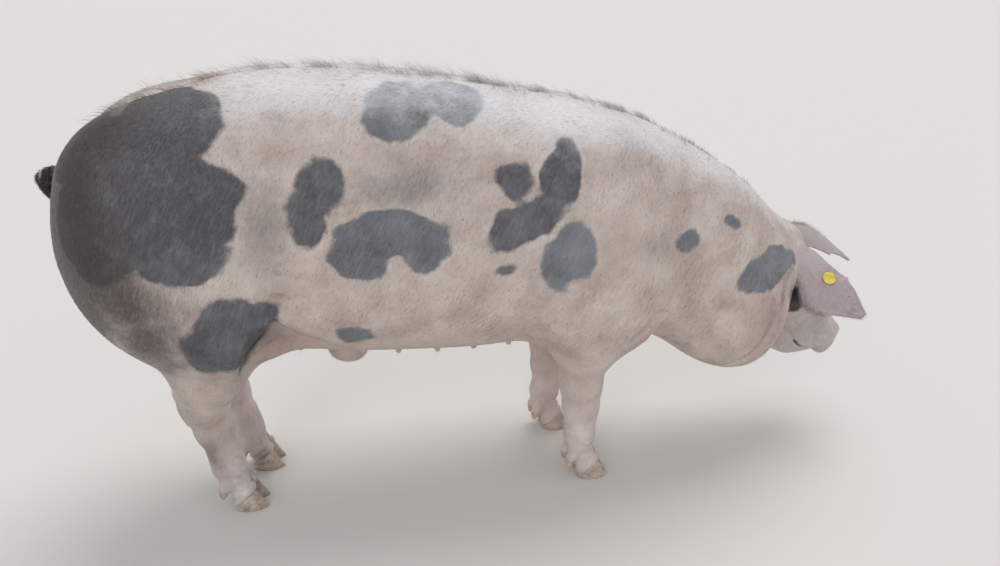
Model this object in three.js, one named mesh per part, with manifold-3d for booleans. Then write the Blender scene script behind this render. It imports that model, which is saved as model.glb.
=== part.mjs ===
import * as THREE from "three";
import { mergeVertices } from "three/addons/utils/BufferGeometryUtils.js";
import Module from "manifold-3d";

// A full-grown spotted pig that stands with its head down. Millimetres, +X forward,
// +Y to the pig's left, +Z up, with the soles on Z = 0. The flesh is one soft-blended body,
// described by a field that is negative inside, and it is meshed and parted limb by limb.

const wasm = await Module();
wasm.setup();

// ---- driving sizes ---------------------------------------------------------------------

const GAP = 0.3; // left between neighbouring pieces

// The trunk and neck are lofted along X: the heights of the bristles' tips along the spine,
// of the widest level and of the underline, and half the width.
const TRUNK = [
  { at: -639, top: 682, wide: 630, low: 579, half: 41 },
  { at: -623, top: 720, wide: 615, low: 508, half: 90 },
  { at: -582, top: 772, wide: 602, low: 436, half: 135 },
  { at: -508, top: 830, wide: 595, low: 383, half: 170 },
  { at: -406, top: 881, wide: 590, low: 356, half: 194 },
  { at: -263, top: 908, wide: 579, low: 336, half: 209 },
  { at: -99, top: 905, wide: 564, low: 320, half: 220 },
  { at: 85, top: 881, wide: 554, low: 311, half: 227 },
  { at: 238, top: 854, wide: 549, low: 313, half: 219 },
  { at: 371, top: 827, wide: 533, low: 320, half: 200 },
  { at: 494, top: 782, wide: 492, low: 295, half: 180 },
  { at: 607, top: 724, wide: 446, low: 250, half: 160 },
  { at: 709, top: 655, wide: 400, low: 228, half: 137 },
  { at: 785, top: 586, wide: 395, low: 256, half: 102 },
  { at: 826, top: 545, wide: 411, low: 303, half: 74 },
  { at: 857, top: 500, wide: 416, low: 356, half: 31 },
];
const TRUNK_SQUARE = 2.25; // 2 is an ellipse, and more is fuller at the corners

// The muscles that stand out of the loft, on both sides: centre, half sizes and a lean in
// degrees about Y.
const MUSCLES = {
  ham: { at: [-431, 106, 569], size: [186, 121, 237], lean: -14 },
  rump: { at: [-411, 65, 698], size: [180, 112, 115], lean: 14 },
  stifle: { at: [-371, 123, 459], size: [86, 80, 115], lean: -20 },
  shoulder: { at: [346, 115, 549], size: [153, 106, 225], lean: -14 },
  arm: { at: [357, 121, 405], size: [92, 78, 115], lean: 12 },
  jowl: { at: [690, 63, 322], size: [104, 84, 98], lean: 20 },
};

// Each limb is a chain of joints, placed on the pig's left. `step` moves it along X.
const HIND = [
  { at: [-376, 108, 436], r: 100 },
  { at: [-404, 98, 330], r: 74 },
  { at: [-420, 88, 252], r: 46 },
  { at: [-406, 84, 188], r: 37 },
  { at: [-391, 82, 130], r: 31 },
  { at: [-385, 82, 98], r: 32 },
  { at: [-372, 80, 62], r: 30 },
];
const HOCK = { at: [-450, 88, 282], r: 26 }; // the point of the hock
const FORE = [
  { at: [352, 110, 405], r: 82 },
  { at: [338, 106, 304], r: 60 },
  { at: [334, 104, 222], r: 44 },
  { at: [334, 104, 166], r: 38 },
  { at: [335, 104, 122], r: 30 },
  { at: [332, 104, 94], r: 32 },
  { at: [334, 104, 60], r: 29 },
];
const STANCE = {
  hind_right: { chain: HIND, side: -1, step: -14, out: -8 },
  hind_left: { chain: HIND, side: 1, step: 14, out: -8 },
  fore_right: { chain: FORE, side: -1, step: 8, out: 0 },
  fore_left: { chain: FORE, side: 1, step: -18, out: 4 },
};

// The head is lofted along the skull, from the poll to the snout's disc, in its own frame.
const HEAD = { disc: [988, 15, 213], down: 61, turn: -18, roll: 7 };
const SKULL = [
  { at: -330, top: 20, wide: -20, low: -80, half: 40 },
  { at: -300, top: 40, wide: -18, low: -110, half: 70 },
  { at: -265, top: 50, wide: -20, low: -128, half: 90 },
  { at: -225, top: 46, wide: -24, low: -138, half: 102 },
  { at: -185, top: 34, wide: -28, low: -140, half: 102 },
  { at: -140, top: 24, wide: -26, low: -134, half: 86 },
  { at: -95, top: 24, wide: -18, low: -120, half: 65 },
  { at: -50, top: 34, wide: -8, low: -96, half: 53 },
  { at: -14, top: 38, wide: 0, low: -56, half: 46 },
];
const SKULL_SQUARE = 2.2;
const SNOUT = { tilt: 32, half: 47, high: 41, back: -14, front: 8, rim: 7 };
// The muzzle and the lower jaw run back from the disc, less steep than the forehead: joints
// in the disc's frame.
const MUZZLE = [
  { at: [-24, 0, -10], r: 33 },
  { at: [-80, 0, -34], r: 50 },
  { at: [-150, 0, -44], r: 64 },
];
const NOSTRIL = { aside: 17, up: 2, deep: 11, half: 6, high: 8 };

// The eyes sit deep in the cheeks: centre in the head's frame, and the ball.
const EYE = { at: [-142, 62, 2], radius: 13 };

// The ears hang forward from the poll. Along the midline of the right one, mirrored, in the
// head's frame: the place, half the width, the way its outer side faces and how tight it curls.
const EAR = [
  { at: [-278, 50, 18], half: 32, out: [-0.75, 0.3, 0.55], curl: 48 },
  { at: [-263, 77, 38], half: 33, out: [-0.74, 0.42, 0.5], curl: 56 },
  { at: [-224, 117, 46], half: 44, out: [-0.64, 0.66, 0.34], curl: 90 },
  { at: [-178, 146, 55], half: 60, out: [-0.56, 0.78, 0.2], curl: 130 },
  { at: [-150, 154, 75], half: 38, out: [-0.52, 0.8, 0.16], curl: 150 },
  { at: [-108, 164, 101], half: 8, out: [-0.5, 0.82, 0.14], curl: 160 },
];
// The left ear has flopped over the brow: it is turned about its root and moved.
const FLOP = { roll: 54, down: 27, turn: 11, move: [5, 19, -21] };
const EAR_THICK = [13, 6]; // at the root and at the tip
// The tag: how far along the ear and across it the hole is, the button, its disc and stem.
const TAG = { along: 0.5, across: 0.38, radius: 14, thick: 3, stem: 4, proud: 1.6 };

// The tail leaves the rump, turns down and curls to the pig's left.
const TAIL = [
  { at: [-606, 0, 690], r: 20 },
  { at: [-638, -2, 698], r: 18 },
  { at: [-659, 8, 692], r: 14 },
  { at: [-664, 30, 668], r: 12 },
  { at: [-654, 56, 636], r: 11 },
  { at: [-645, 74, 598], r: 9 },
  { at: [-640, 80, 558], r: 6 },
];
const SHEATH = { at: [-140, 0, 303], size: [46, 26, 38], lean: 10 };

// Each foot in its own frame, which lies on the floor below the last joint. A toe runs
// down and back from its front to its heel; `aside` is how far it is from the middle.
const TOE = { front: { at: [22, 16, 38], r: 20 }, heel: { at: [4, 18, 23], r: 18 } };
// A claw is a raked oval wall under its toe, `reach` and `half` from its middle at the floor.
// It rises to the coronet, which climbs towards the front.
const CLAW = {
  at: 27, apart: 18.5, reach: 34, half: 17.5, rake: 0.55, narrow: 0.06, point: 0.24,
  coronet: 16, slope: 40, splay: 3,
};
const DEW = { at: [-26, 19, 46], size: [10, 9, 20], lean: 14 };

// Where the body is parted: a block in front of, behind or below each cut, and its turn.
const CUTS = {
  head: { at: [826, 0, 380], lean: 12, turn: -6 },
  neck: { at: [500, 0, 508], lean: -6, turn: 0 },
  hind: { x: [-575, -235], y: [4, 270], top: 320 },
  fore: { x: [215, 436], y: [4, 270], top: 300 },
  jaw: { back: -70, top: -31, slope: 8 },
};

// ---- fields ----------------------------------------------------------------------------

// The union of two fields, filleted over the distance `soft`.
function blend(a, b, soft) {
  const h = Math.max(soft - Math.abs(a - b), 0) / soft;
  return Math.min(a, b) - (h * h * soft) / 4;
}

// A smooth curve through the stations' values of one key.
function curveOf(stations, key) {
  const x = stations.map((s) => s.at);
  const v = stations.map((s) => s[key]);
  const slope = v.map((_, i) => {
    const a = Math.max(i - 1, 0);
    const b = Math.min(i + 1, v.length - 1);
    return (v[b] - v[a]) / (x[b] - x[a]);
  });
  return (at) => {
    let i = 0;
    while (i < x.length - 2 && at > x[i + 1]) i += 1;
    const d = x[i + 1] - x[i];
    const t = Math.min(Math.max((at - x[i]) / d, 0), 1);
    const t2 = t * t;
    const t3 = t2 * t;
    return (
      (2 * t3 - 3 * t2 + 1) * v[i] +
      (t3 - 2 * t2 + t) * d * slope[i] +
      (3 * t2 - 2 * t3) * v[i + 1] +
      (t3 - t2) * d * slope[i + 1]
    );
  };
}

// A loft along its first axis with superelliptic sections.
function loft(stations, power) {
  const [top, wide, low, half] = ["top", "wide", "low", "half"].map((k) => curveOf(stations, k));
  const first = stations[0].at;
  const last = stations[stations.length - 1].at;
  return (p) => {
    const at = Math.min(Math.max(p[0], first), last);
    const middle = wide(at);
    const high = p[2] > middle ? top(at) - middle : middle - low(at);
    const side = half(at);
    const a = Math.abs(p[1]) / side;
    const b = Math.abs(p[2] - middle) / high;
    const k = Math.max((a ** power + b ** power) ** (1 / power), 1e-6);
    const grow = Math.hypot((a / k) ** (power - 1) / side, (b / k) ** (power - 1) / high);
    const across = (k - 1) / grow;
    return p[0] === at ? across : Math.hypot(Math.max(across, 0), p[0] - at);
  };
}

// An ellipsoid, leaned about Y.
function ball({ at, size, lean = 0 }, side = 1) {
  const c = Math.cos(THREE.MathUtils.degToRad(lean));
  const s = Math.sin(THREE.MathUtils.degToRad(lean));
  return (p) => {
    const x = p[0] - at[0];
    const z = p[2] - at[2];
    const u = (c * x - s * z) / size[0];
    const v = (p[1] - side * at[1]) / size[1];
    const w = (s * x + c * z) / size[2];
    const k = Math.hypot(u, v, w);
    return (k * (k - 1)) / Math.max(Math.hypot(u / size[0], v / size[1], w / size[2]), 1e-6);
  };
}

// A rounded bar between two joints, each with its own radius.
function bone(a, b) {
  const d = [0, 1, 2].map((i) => b.at[i] - a.at[i]);
  const long = d[0] ** 2 + d[1] ** 2 + d[2] ** 2;
  return (p) => {
    const q = [p[0] - a.at[0], p[1] - a.at[1], p[2] - a.at[2]];
    const t = Math.min(Math.max((q[0] * d[0] + q[1] * d[1] + q[2] * d[2]) / long, 0), 1);
    const away = Math.hypot(q[0] - t * d[0], q[1] - t * d[1], q[2] - t * d[2]);
    return away - (a.r + t * (b.r - a.r));
  };
}

// ---- the body --------------------------------------------------------------------------

const turned = (axis, degrees) =>
  new THREE.Matrix4().makeRotationAxis(axis, THREE.MathUtils.degToRad(degrees));
const [X, Y, Z] = [0, 1, 2].map((i) => new THREE.Vector3().setComponent(i, 1));
const headFrame = new THREE.Matrix4()
  .makeTranslation(...HEAD.disc)
  .multiply(turned(Z, HEAD.turn))
  .multiply(turned(Y, HEAD.down))
  .multiply(turned(X, HEAD.roll));
const snoutFrame = headFrame.clone().multiply(turned(Y, -SNOUT.tilt));

// A field moved into a frame.
function placed(field, frame) {
  const m = frame.clone().invert().elements;
  return (p) =>
    field([
      m[0] * p[0] + m[4] * p[1] + m[8] * p[2] + m[12],
      m[1] * p[0] + m[5] * p[1] + m[9] * p[2] + m[13],
      m[2] * p[0] + m[6] * p[1] + m[10] * p[2] + m[14],
    ]);
}

function stood(joint, { side, step, out }) {
  const low = 1 - Math.min(Math.max((joint.at[2] - 60) / 360, 0), 1);
  return {
    at: [joint.at[0] + low * step, side * (joint.at[1] + low * out), joint.at[2]],
    r: joint.r,
  };
}

// Bars from joint to joint, and one more to a spur where there is one.
function chain(joints, ...spurs) {
  const bones = joints.slice(1).map((j, i) => bone(joints[i], j)).concat(spurs);
  return (p) => bones.reduce((d, f) => blend(d, f(p), 18), 1e6);
}

function limb(stance) {
  const joints = stance.chain.map((j) => stood(j, stance));
  const hock = stance.chain === HIND ? [bone(stood(HOCK, stance), joints[2])] : [];
  const [x, y] = joints[joints.length - 1].at;
  const under = ({ at, r }, out) => ({ at: [x + at[0], y + out * at[1], at[2]], r });
  const toes = [-1, 1].map((out) => bone(under(TOE.front, out), under(TOE.heel, out)));
  return chain(joints, ...hock, ...toes);
}

const limbs = Object.fromEntries(Object.entries(STANCE).map(([k, s]) => [k, limb(s)]));
const trunkLoft = loft(TRUNK, TRUNK_SQUARE);
const muscles = Object.values(MUSCLES).flatMap((m) => [ball(m, -1), ball(m, 1)]);
const skull = placed(loft(SKULL, SKULL_SQUARE), headFrame);
const muzzle = placed(chain(MUZZLE), snoutFrame);

function flesh(p) {
  let d = trunkLoft(p);
  for (const m of muscles) d = blend(d, m(p), 90);
  d = blend(d, blend(skull(p), muzzle(p), 30), 40);
  for (const l of Object.values(limbs)) d = blend(d, l(p), 34);
  return d;
}

// ---- meshing ---------------------------------------------------------------------------

// The surface of a field inside a box, as a closed geometry of quads on a grid of `step`.
function surface(field, low, high, step) {
  const n = low.map((l, i) => Math.ceil((high[i] - l) / step) + 3);
  const at = (i, k) => low[k] + (i - 1) * step;
  const id = (i, j, k) => i + n[0] * (j + n[1] * k);
  const value = new Float64Array(n[0] * n[1] * n[2]).fill(step);
  for (let k = 1; k < n[2] - 1; k++)
    for (let j = 1; j < n[1] - 1; j++)
      for (let i = 1; i < n[0] - 1; i++) value[id(i, j, k)] = field([at(i, 0), at(j, 1), at(k, 2)]);
  const points = [];
  const cell = new Int32Array(value.length).fill(-1);
  const corners = [0, 1, 2, 3, 4, 5, 6, 7].map((c) => [c & 1, (c >> 1) & 1, c >> 2]);
  for (let k = 0; k < n[2] - 1; k++)
    for (let j = 0; j < n[1] - 1; j++)
      for (let i = 0; i < n[0] - 1; i++) {
        const v = corners.map(([a, b, c]) => value[id(i + a, j + b, k + c)]);
        const inside = v.filter((x) => x < 0).length;
        if (inside === 0 || inside === 8) continue;
        const sum = [0, 0, 0];
        let crossings = 0;
        for (let a = 0; a < 8; a++)
          for (const bit of [1, 2, 4]) {
            const b = a | bit;
            if (b === a || v[a] < 0 === v[b] < 0) continue;
            const t = v[a] / (v[a] - v[b]);
            corners[a].forEach((c, m) => (sum[m] += c + t * (corners[b][m] - c)));
            crossings += 1;
          }
        cell[id(i, j, k)] = points.length / 3;
        points.push(...[i, j, k].map((c, m) => low[m] + (c - 1 + sum[m] / crossings) * step));
      }
  const faces = [];
  const quad = (a, b, c, d, flip) =>
    flip ? faces.push(a, d, c, a, c, b) : faces.push(a, b, c, a, c, d);
  for (let k = 0; k < n[2] - 1; k++)
    for (let j = 0; j < n[1] - 1; j++)
      for (let i = 0; i < n[0] - 1; i++) {
        const here = value[id(i, j, k)] < 0;
        const c = (a, b, d) => cell[id(i - a, j - b, k - d)];
        if (j && k && here !== value[id(i + 1, j, k)] < 0)
          quad(c(0, 1, 1), c(0, 0, 1), c(0, 0, 0), c(0, 1, 0), !here);
        if (i && k && here !== value[id(i, j + 1, k)] < 0)
          quad(c(1, 0, 1), c(1, 0, 0), c(0, 0, 0), c(0, 0, 1), !here);
        if (i && j && here !== value[id(i, j, k + 1)] < 0)
          quad(c(1, 1, 0), c(0, 1, 0), c(0, 0, 0), c(1, 0, 0), !here);
      }
  settle(points, field, step);
  const made = new THREE.BufferGeometry();
  made.setAttribute("position", new THREE.Float32BufferAttribute(points, 3));
  made.setIndex(faces);
  return made;
}

// Moves each vertex onto the surface of the field, by no more than half a step.
function settle(points, field, step) {
  const e = 0.5;
  for (let i = 0; i < points.length; i += 3)
    for (let turn = 0; turn < 3; turn++) {
      const p = [points[i], points[i + 1], points[i + 2]];
      const d = field(p);
      if (Math.abs(d) > step) continue;
      const g = [0, 1, 2].map((m) => {
        const q = [...p];
        q[m] += e;
        return (field(q) - d) / e;
      });
      const long = Math.max(g[0] ** 2 + g[1] ** 2 + g[2] ** 2, 0.2);
      const move = Math.min(Math.max(d / long, -step / 2), step / 2);
      g.forEach((c, m) => (points[i + m] -= c * move));
    }
}

// ---- solids ----------------------------------------------------------------------------

function solid(geometry) {
  const plain = new THREE.BufferGeometry();
  plain.setAttribute("position", geometry.getAttribute("position"));
  plain.setIndex(geometry.getIndex());
  const merged = mergeVertices(plain, 1e-4);
  return new wasm.Manifold(
    new wasm.Mesh({
      numProp: 3,
      vertProperties: new Float32Array(merged.getAttribute("position").array),
      triVerts: new Uint32Array(merged.getIndex().array),
    }),
  );
}

// A box of a frame, from `low` to `high`.
function block(frame, low, high) {
  const size = high.map((h, i) => h - low[i]);
  const made = new THREE.BoxGeometry(...size);
  made.translate(...high.map((h, i) => (h + low[i]) / 2));
  return solid(made.applyMatrix4(frame));
}

function frameAt({ at, lean = 0, turn = 0 }) {
  return new THREE.Matrix4()
    .makeTranslation(...at)
    .multiply(turned(Z, turn))
    .multiply(turned(Y, lean));
}

// The flesh inside a box, meshed on its own grid.
const meshed = (field, low, high, step) => solid(surface(field, low, high, step));

// A mesh grown along its normals.
function grown(geometry, by) {
  const made = geometry.clone();
  made.computeVertexNormals();
  const position = made.getAttribute("position");
  const normal = made.getAttribute("normal");
  for (let i = 0; i < position.count; i++)
    position.setXYZ(
      i,
      position.getX(i) + by * normal.getX(i),
      position.getY(i) + by * normal.getY(i),
      position.getZ(i) + by * normal.getZ(i),
    );
  return made;
}

// One ear as a closed shell: rows of points along it, each an arc across.
function earShell({ rows, across }) {
  const outer = [];
  const inner = [];
  for (let i = 0; i <= rows; i++) {
    const s = i / rows;
    const section = earSection(s);
    for (let j = 0; j <= across; j++) {
      const { point, normal } = section((2 * j) / across - 1);
      const edge = 1 - 0.55 * Math.abs((2 * j) / across - 1) ** 3;
      const thick = (EAR_THICK[0] + s * (EAR_THICK[1] - EAR_THICK[0])) * edge;
      outer.push(point);
      inner.push(point.clone().addScaledVector(normal, -thick));
    }
  }
  const id = (side, i, j) => side * outer.length + i * (across + 1) + j;
  const faces = [];
  const quad = (a, b, c, d) => faces.push(a, c, b, a, d, c);
  for (let i = 0; i < rows; i++)
    for (let j = 0; j < across; j++) {
      quad(id(0, i, j), id(0, i + 1, j), id(0, i + 1, j + 1), id(0, i, j + 1));
      quad(id(1, i, j), id(1, i, j + 1), id(1, i + 1, j + 1), id(1, i + 1, j));
    }
  for (let i = 0; i < rows; i++) {
    quad(id(0, i, 0), id(1, i, 0), id(1, i + 1, 0), id(0, i + 1, 0));
    quad(id(0, i, across), id(0, i + 1, across), id(1, i + 1, across), id(1, i, across));
  }
  for (let j = 0; j < across; j++) {
    quad(id(0, 0, j), id(0, 0, j + 1), id(1, 0, j + 1), id(1, 0, j));
    quad(id(0, rows, j), id(1, rows, j), id(1, rows, j + 1), id(0, rows, j + 1));
  }
  const made = new THREE.BufferGeometry().setFromPoints([...outer, ...inner]);
  made.setIndex(faces);
  return made;
}

// The section of the ear at `s` along it: a point and the outward normal, from -1 to 1 across.
const earPath = new THREE.CatmullRomCurve3(EAR.map((e) => new THREE.Vector3(...e.at)));
const earChord = earPath.points[EAR.length - 1].clone().sub(earPath.points[0]).normalize();
function earSection(s) {
  const part = Math.min(s, 0.9999) * (EAR.length - 1);
  const i = Math.floor(part);
  const mix = (key) => THREE.MathUtils.lerp(EAR[i][key], EAR[i + 1][key], part - i);
  const middle = earPath.getPoint(s);
  const along = earPath.getTangent(s).add(earChord).normalize();
  const out = new THREE.Vector3(...EAR[i].out).lerp(new THREE.Vector3(...EAR[i + 1].out), part - i);
  out.addScaledVector(along, -out.dot(along)).normalize();
  const over = new THREE.Vector3().crossVectors(along, out);
  const curl = mix("curl");
  return (t) => {
    const turn = (t * mix("half")) / curl;
    const point = middle
      .clone()
      .addScaledVector(over, curl * Math.sin(turn))
      .addScaledVector(out, -curl * (1 - Math.cos(turn)));
    const normal = out.clone().multiplyScalar(Math.cos(turn)).addScaledVector(over, Math.sin(turn));
    return { point, normal };
  };
}

// A closed tapering tube along a chain of joints.
function whip(joints, rings, around) {
  const path = new THREE.CatmullRomCurve3(joints.map((j) => new THREE.Vector3(...j.at)));
  const frames = path.computeFrenetFrames(rings, false);
  const points = [path.getPointAt(0), path.getPointAt(1)];
  const faces = [];
  const id = (i, j) => 2 + i * around + (j % around);
  for (let i = 0; i <= rings; i++) {
    const part = path.getUtoTmapping(i / rings) * (joints.length - 1);
    const k = Math.min(Math.floor(part), joints.length - 2);
    const r = THREE.MathUtils.lerp(joints[k].r, joints[k + 1].r, part - k);
    for (let j = 0; j < around; j++) {
      const turn = (j * 2 * Math.PI) / around;
      const rim = path.getPointAt(i / rings);
      rim.addScaledVector(frames.normals[i], r * Math.cos(turn));
      points.push(rim.addScaledVector(frames.binormals[i], r * Math.sin(turn)));
      if (i === 0) faces.push(0, id(0, j + 1), id(0, j));
      else faces.push(id(i - 1, j), id(i - 1, j + 1), id(i, j + 1), id(i - 1, j), id(i, j + 1), id(i, j));
      if (i === rings) faces.push(1, id(i, j), id(i, j + 1));
    }
  }
  const made = new THREE.BufferGeometry().setFromPoints(points);
  made.setIndex(faces);
  return made;
}

const mirrored = new THREE.Matrix4().makeScale(1, -1, 1);

// A geometry moved, with its faces turned over when the move mirrors it.
function moved(geometry, frame) {
  const made = geometry.clone().applyMatrix4(frame);
  if (frame.determinant() < 0) {
    const index = made.getIndex();
    for (let i = 0; i < index.count; i += 3) {
      const a = index.getX(i);
      index.setX(i, index.getX(i + 1));
      index.setX(i + 1, a);
    }
  }
  return made;
}

// ---- the parts -------------------------------------------------------------------------

const pig = new THREE.Group();

function add(name, shape, color, roughness) {
  const mesh = shape.getMesh();
  const made = new THREE.BufferGeometry();
  made.setAttribute("position", new THREE.BufferAttribute(mesh.vertProperties, 3));
  made.setIndex(new THREE.BufferAttribute(mesh.triVerts, 1));
  made.computeVertexNormals();
  const material = new THREE.MeshStandardMaterial({ color, roughness, metalness: 0 });
  const piece = new THREE.Mesh(made, material);
  piece.name = name;
  pig.add(piece);
}

const SKIN = "#c6aa9d";
const PINK = "#d3b1a8";
const HORN = "#5d534c";
const IRIS = "#2a1d17";
const YELLOW = "#d6c631";
const BLACK = "#3a3532";
const FAR = 600;

const headCut = frameAt(CUTS.head);
const neckCut = frameAt(CUTS.neck);
const world = new THREE.Matrix4();
const ahead = (frame, from) => block(frame, [from, -FAR, -FAR], [FAR * 2, FAR, FAR]);

// The snout's disc: a turned drum with a rounded rim, made oval, and its two nostrils.
function snoutDisc() {
  const { back, front, rim } = SNOUT;
  const wide = 1 - rim / SNOUT.half;
  const arc = [0, 1, 2].map((i) => (i * Math.PI) / 4);
  const profile = [
    [0, back],
    [0.97, back],
    ...arc.map((t) => [wide + (1 - wide) * Math.cos(t), front - rim + rim * Math.sin(t)]),
    [0, front - 2],
  ];
  const drum = new THREE.LatheGeometry(profile.map(([r, x]) => new THREE.Vector2(r, x)), 18);
  drum.rotateZ(-Math.PI / 2).scale(1, SNOUT.high, SNOUT.half).rotateX(Math.PI / 2);
  let made = solid(drum.applyMatrix4(snoutFrame));
  for (const side of [-1, 1]) {
    const hole = new THREE.SphereGeometry(1, 8, 6).scale(NOSTRIL.deep, NOSTRIL.half, NOSTRIL.high);
    hole.translate(front, side * NOSTRIL.aside, NOSTRIL.up);
    made = made.subtract(solid(hole.applyMatrix4(snoutFrame)));
  }
  return made;
}

// Head: the snout's disc and the lower jaw come off it, and the eyes sit in sockets.
const headSkin = surface(flesh, [736, -190, 110], [1080, 230, 600], 20);
const headAll = solid(headSkin).intersect(ahead(headCut, GAP / 2));
const skullSolid = headAll.subtract(
  block(snoutFrame, [SNOUT.back - GAP, -90, -90], [90, 90, 90]),
);
const jawFrame = snoutFrame
  .clone()
  .multiply(new THREE.Matrix4().makeTranslation(CUTS.jaw.back, 0, CUTS.jaw.top))
  .multiply(turned(Y, CUTS.jaw.slope));
const jawFrom = (g) => block(jawFrame, [-g, -110, -110], [200, 110, g]);
const eyeBall = (side, r) => {
  const made = new THREE.SphereGeometry(r, 10, 8);
  made.translate(EYE.at[0], side * EYE.at[1], EYE.at[2]);
  return solid(made.applyMatrix4(headFrame));
};
let head = skullSolid.subtract(jawFrom(GAP));
for (const side of [-1, 1]) head = head.subtract(eyeBall(side, EYE.radius + GAP));
add("head", head, SKIN, 0.6);
add("lower_jaw", skullSolid.intersect(jawFrom(0)), PINK, 0.6);
add("snout", snoutDisc(), PINK, 0.45);
add("eye_right", eyeBall(-1, EYE.radius), IRIS, 0.15);
add("eye_left", eyeBall(1, EYE.radius), IRIS, 0.15);

// Ears, and the round button tag through the right one.
const neckSkin = surface(flesh, [420, -250, 180], [920, 250, 860], 46);
const headClear = solid(grown(headSkin, 0.4)).add(solid(grown(neckSkin, 0.4)));
const shell = earShell({ rows: 9, across: 6 });
const hole = earSection(TAG.along)(TAG.across);
const tagFrame = headFrame
  .clone()
  .multiply(mirrored)
  .multiply(
    new THREE.Matrix4().compose(
      hole.point,
      new THREE.Quaternion().setFromUnitVectors(Z, hole.normal),
      new THREE.Vector3(1, 1, 1),
    ),
  );
const puck = (radius, low, high) => {
  const made = new THREE.CylinderGeometry(radius, radius, high - low, 12);
  made.rotateX(Math.PI / 2).translate(0, 0, (low + high) / 2);
  return solid(moved(made, tagFrame));
};
const under = -EAR_THICK[0];
const stem = (clear) => puck(TAG.stem + clear, under - 1, 3);
const tag = puck(TAG.radius, TAG.proud, TAG.proud + TAG.thick)
  .add(stem(0))
  .add(puck(TAG.radius - 1, under - TAG.thick, under));
const earRoot = new THREE.Vector3(...EAR[0].at);
const flopped = new THREE.Matrix4()
  .makeTranslation(...earRoot.clone().add(new THREE.Vector3(...FLOP.move)))
  .multiply(turned(X, FLOP.roll))
  .multiply(turned(Y, FLOP.down))
  .multiply(turned(Z, FLOP.turn))
  .multiply(new THREE.Matrix4().makeTranslation(...earRoot.clone().negate()));
const earOf = (pose) =>
  solid(moved(shell, headFrame.clone().multiply(pose))).subtract(headClear);
add("ear_right", earOf(mirrored).subtract(stem(GAP)), PINK, 0.6);
add("ear_left", earOf(flopped), PINK, 0.6);
add("ear_tag", tag, YELLOW, 0.4);

// Neck and trunk.
add(
  "neck",
  solid(neckSkin).intersect(ahead(neckCut, GAP / 2)).subtract(ahead(headCut, -GAP / 2)),
  SKIN,
  0.6,
);
const legBlock = ({ x, y, top }, side, g) =>
  block(
    world,
    [x[0] - g, side > 0 ? y[0] - g : -y[1] - g, -50],
    [x[1] + g, side > 0 ? y[1] + g : -y[0] + g, top + g],
  );
const trunkSkin = surface(flesh, [-730, -294, 252], [640, 294, 950], 56);
let trunk = solid(trunkSkin).subtract(ahead(neckCut, -GAP / 2));
for (const side of [-1, 1])
  for (const cut of [CUTS.hind, CUTS.fore]) trunk = trunk.subtract(legBlock(cut, side, GAP));
add("trunk", trunk, SKIN, 0.6);

const trunkClear = solid(grown(trunkSkin, 0.4));
add("tail", solid(whip(TAIL, 16, 8)).subtract(trunkClear), BLACK, 0.7);
add(
  "sheath",
  meshed(ball(SHEATH), [-210, -50, 270], [-70, 50, 370], 17).subtract(trunkClear),
  PINK,
  0.6,
);

// Legs with their claws: two that carry the weight and two that hang behind.
function footOf(stance) {
  const last = stood(stance.chain[stance.chain.length - 1], stance);
  return new THREE.Matrix4().makeTranslation(last.at[0], last.at[1], 0);
}
const egg = (size, frame, fine) => {
  const made = new THREE.SphereGeometry(1, fine, fine * 0.7);
  made.scale(...size);
  return solid(made.applyMatrix4(frame));
};
const hoof = (frame) => {
  const made = new THREE.CylinderGeometry(1, 1, 80, 11, 1).rotateX(Math.PI / 2).translate(0, 0, 30);
  const spots = made.attributes.position;
  for (let i = 0; i < spots.count; i++) {
    const [x, y, z] = [spots.getX(i), spots.getY(i), spots.getZ(i)];
    const wide = (CLAW.half - CLAW.narrow * z) * (1 - CLAW.point * Math.max(x, 0));
    spots.setXYZ(i, CLAW.reach * x - CLAW.rake * z, wide * y, z);
  }
  return solid(made.applyMatrix4(frame));
};
for (const [name, stance] of Object.entries(STANCE)) {
  const cut = stance.chain === HIND ? CUTS.hind : CUTS.fore;
  const foot = footOf(stance);
  const side = stance.side;
  const low = [cut.x[0] - 44, side > 0 ? -30 : -280, 5];
  const high = [cut.x[1] + 40, side > 0 ? 280 : 30, cut.top + 60];
  const coronet = foot
    .clone()
    .multiply(new THREE.Matrix4().makeTranslation(0, 0, CLAW.coronet))
    .multiply(turned(Y, -CLAW.slope));
  const above = block(coronet, [-200, -200, GAP], [200, 200, 400]);
  const below = block(coronet, [-150, -150, -150], [150, 150, 0]);
  const floor = block(foot, [-150, -150, 0], [150, 150, 150]);
  let leg = meshed(flesh, low, high, 26).intersect(legBlock(cut, side, 0)).intersect(above);
  for (const [which, out] of [["outer", side], ["inner", -side]]) {
    const toe = foot
      .clone()
      .multiply(turned(Z, out * CLAW.splay))
      .multiply(new THREE.Matrix4().makeTranslation(CLAW.at, out * CLAW.apart, 0));
    add(`${name}_claw_${which}`, hoof(toe).intersect(below).intersect(floor), HORN, 0.5);
    const spur = foot
      .clone()
      .multiply(new THREE.Matrix4().makeTranslation(DEW.at[0], out * DEW.at[1], DEW.at[2]))
      .multiply(turned(Y, DEW.lean));
    add(`${name}_dewclaw_${which}`, egg(DEW.size, spur, 7), HORN, 0.5);
    leg = leg.subtract(egg(DEW.size.map((r) => r + GAP), spur, 7));
  }
  const [end, flank] = name.split("_");
  add(`${end}_leg_${flank}`, leg, SKIN, 0.65);
}

const middle = new THREE.Box3().setFromObject(pig).getCenter(new THREE.Vector3());
for (const piece of pig.children) piece.geometry.translate(-middle.x, -middle.y, 0);

export default pig;
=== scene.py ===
import math

import bmesh
import bpy
import numpy as np
from mathutils import Matrix, Vector


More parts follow.
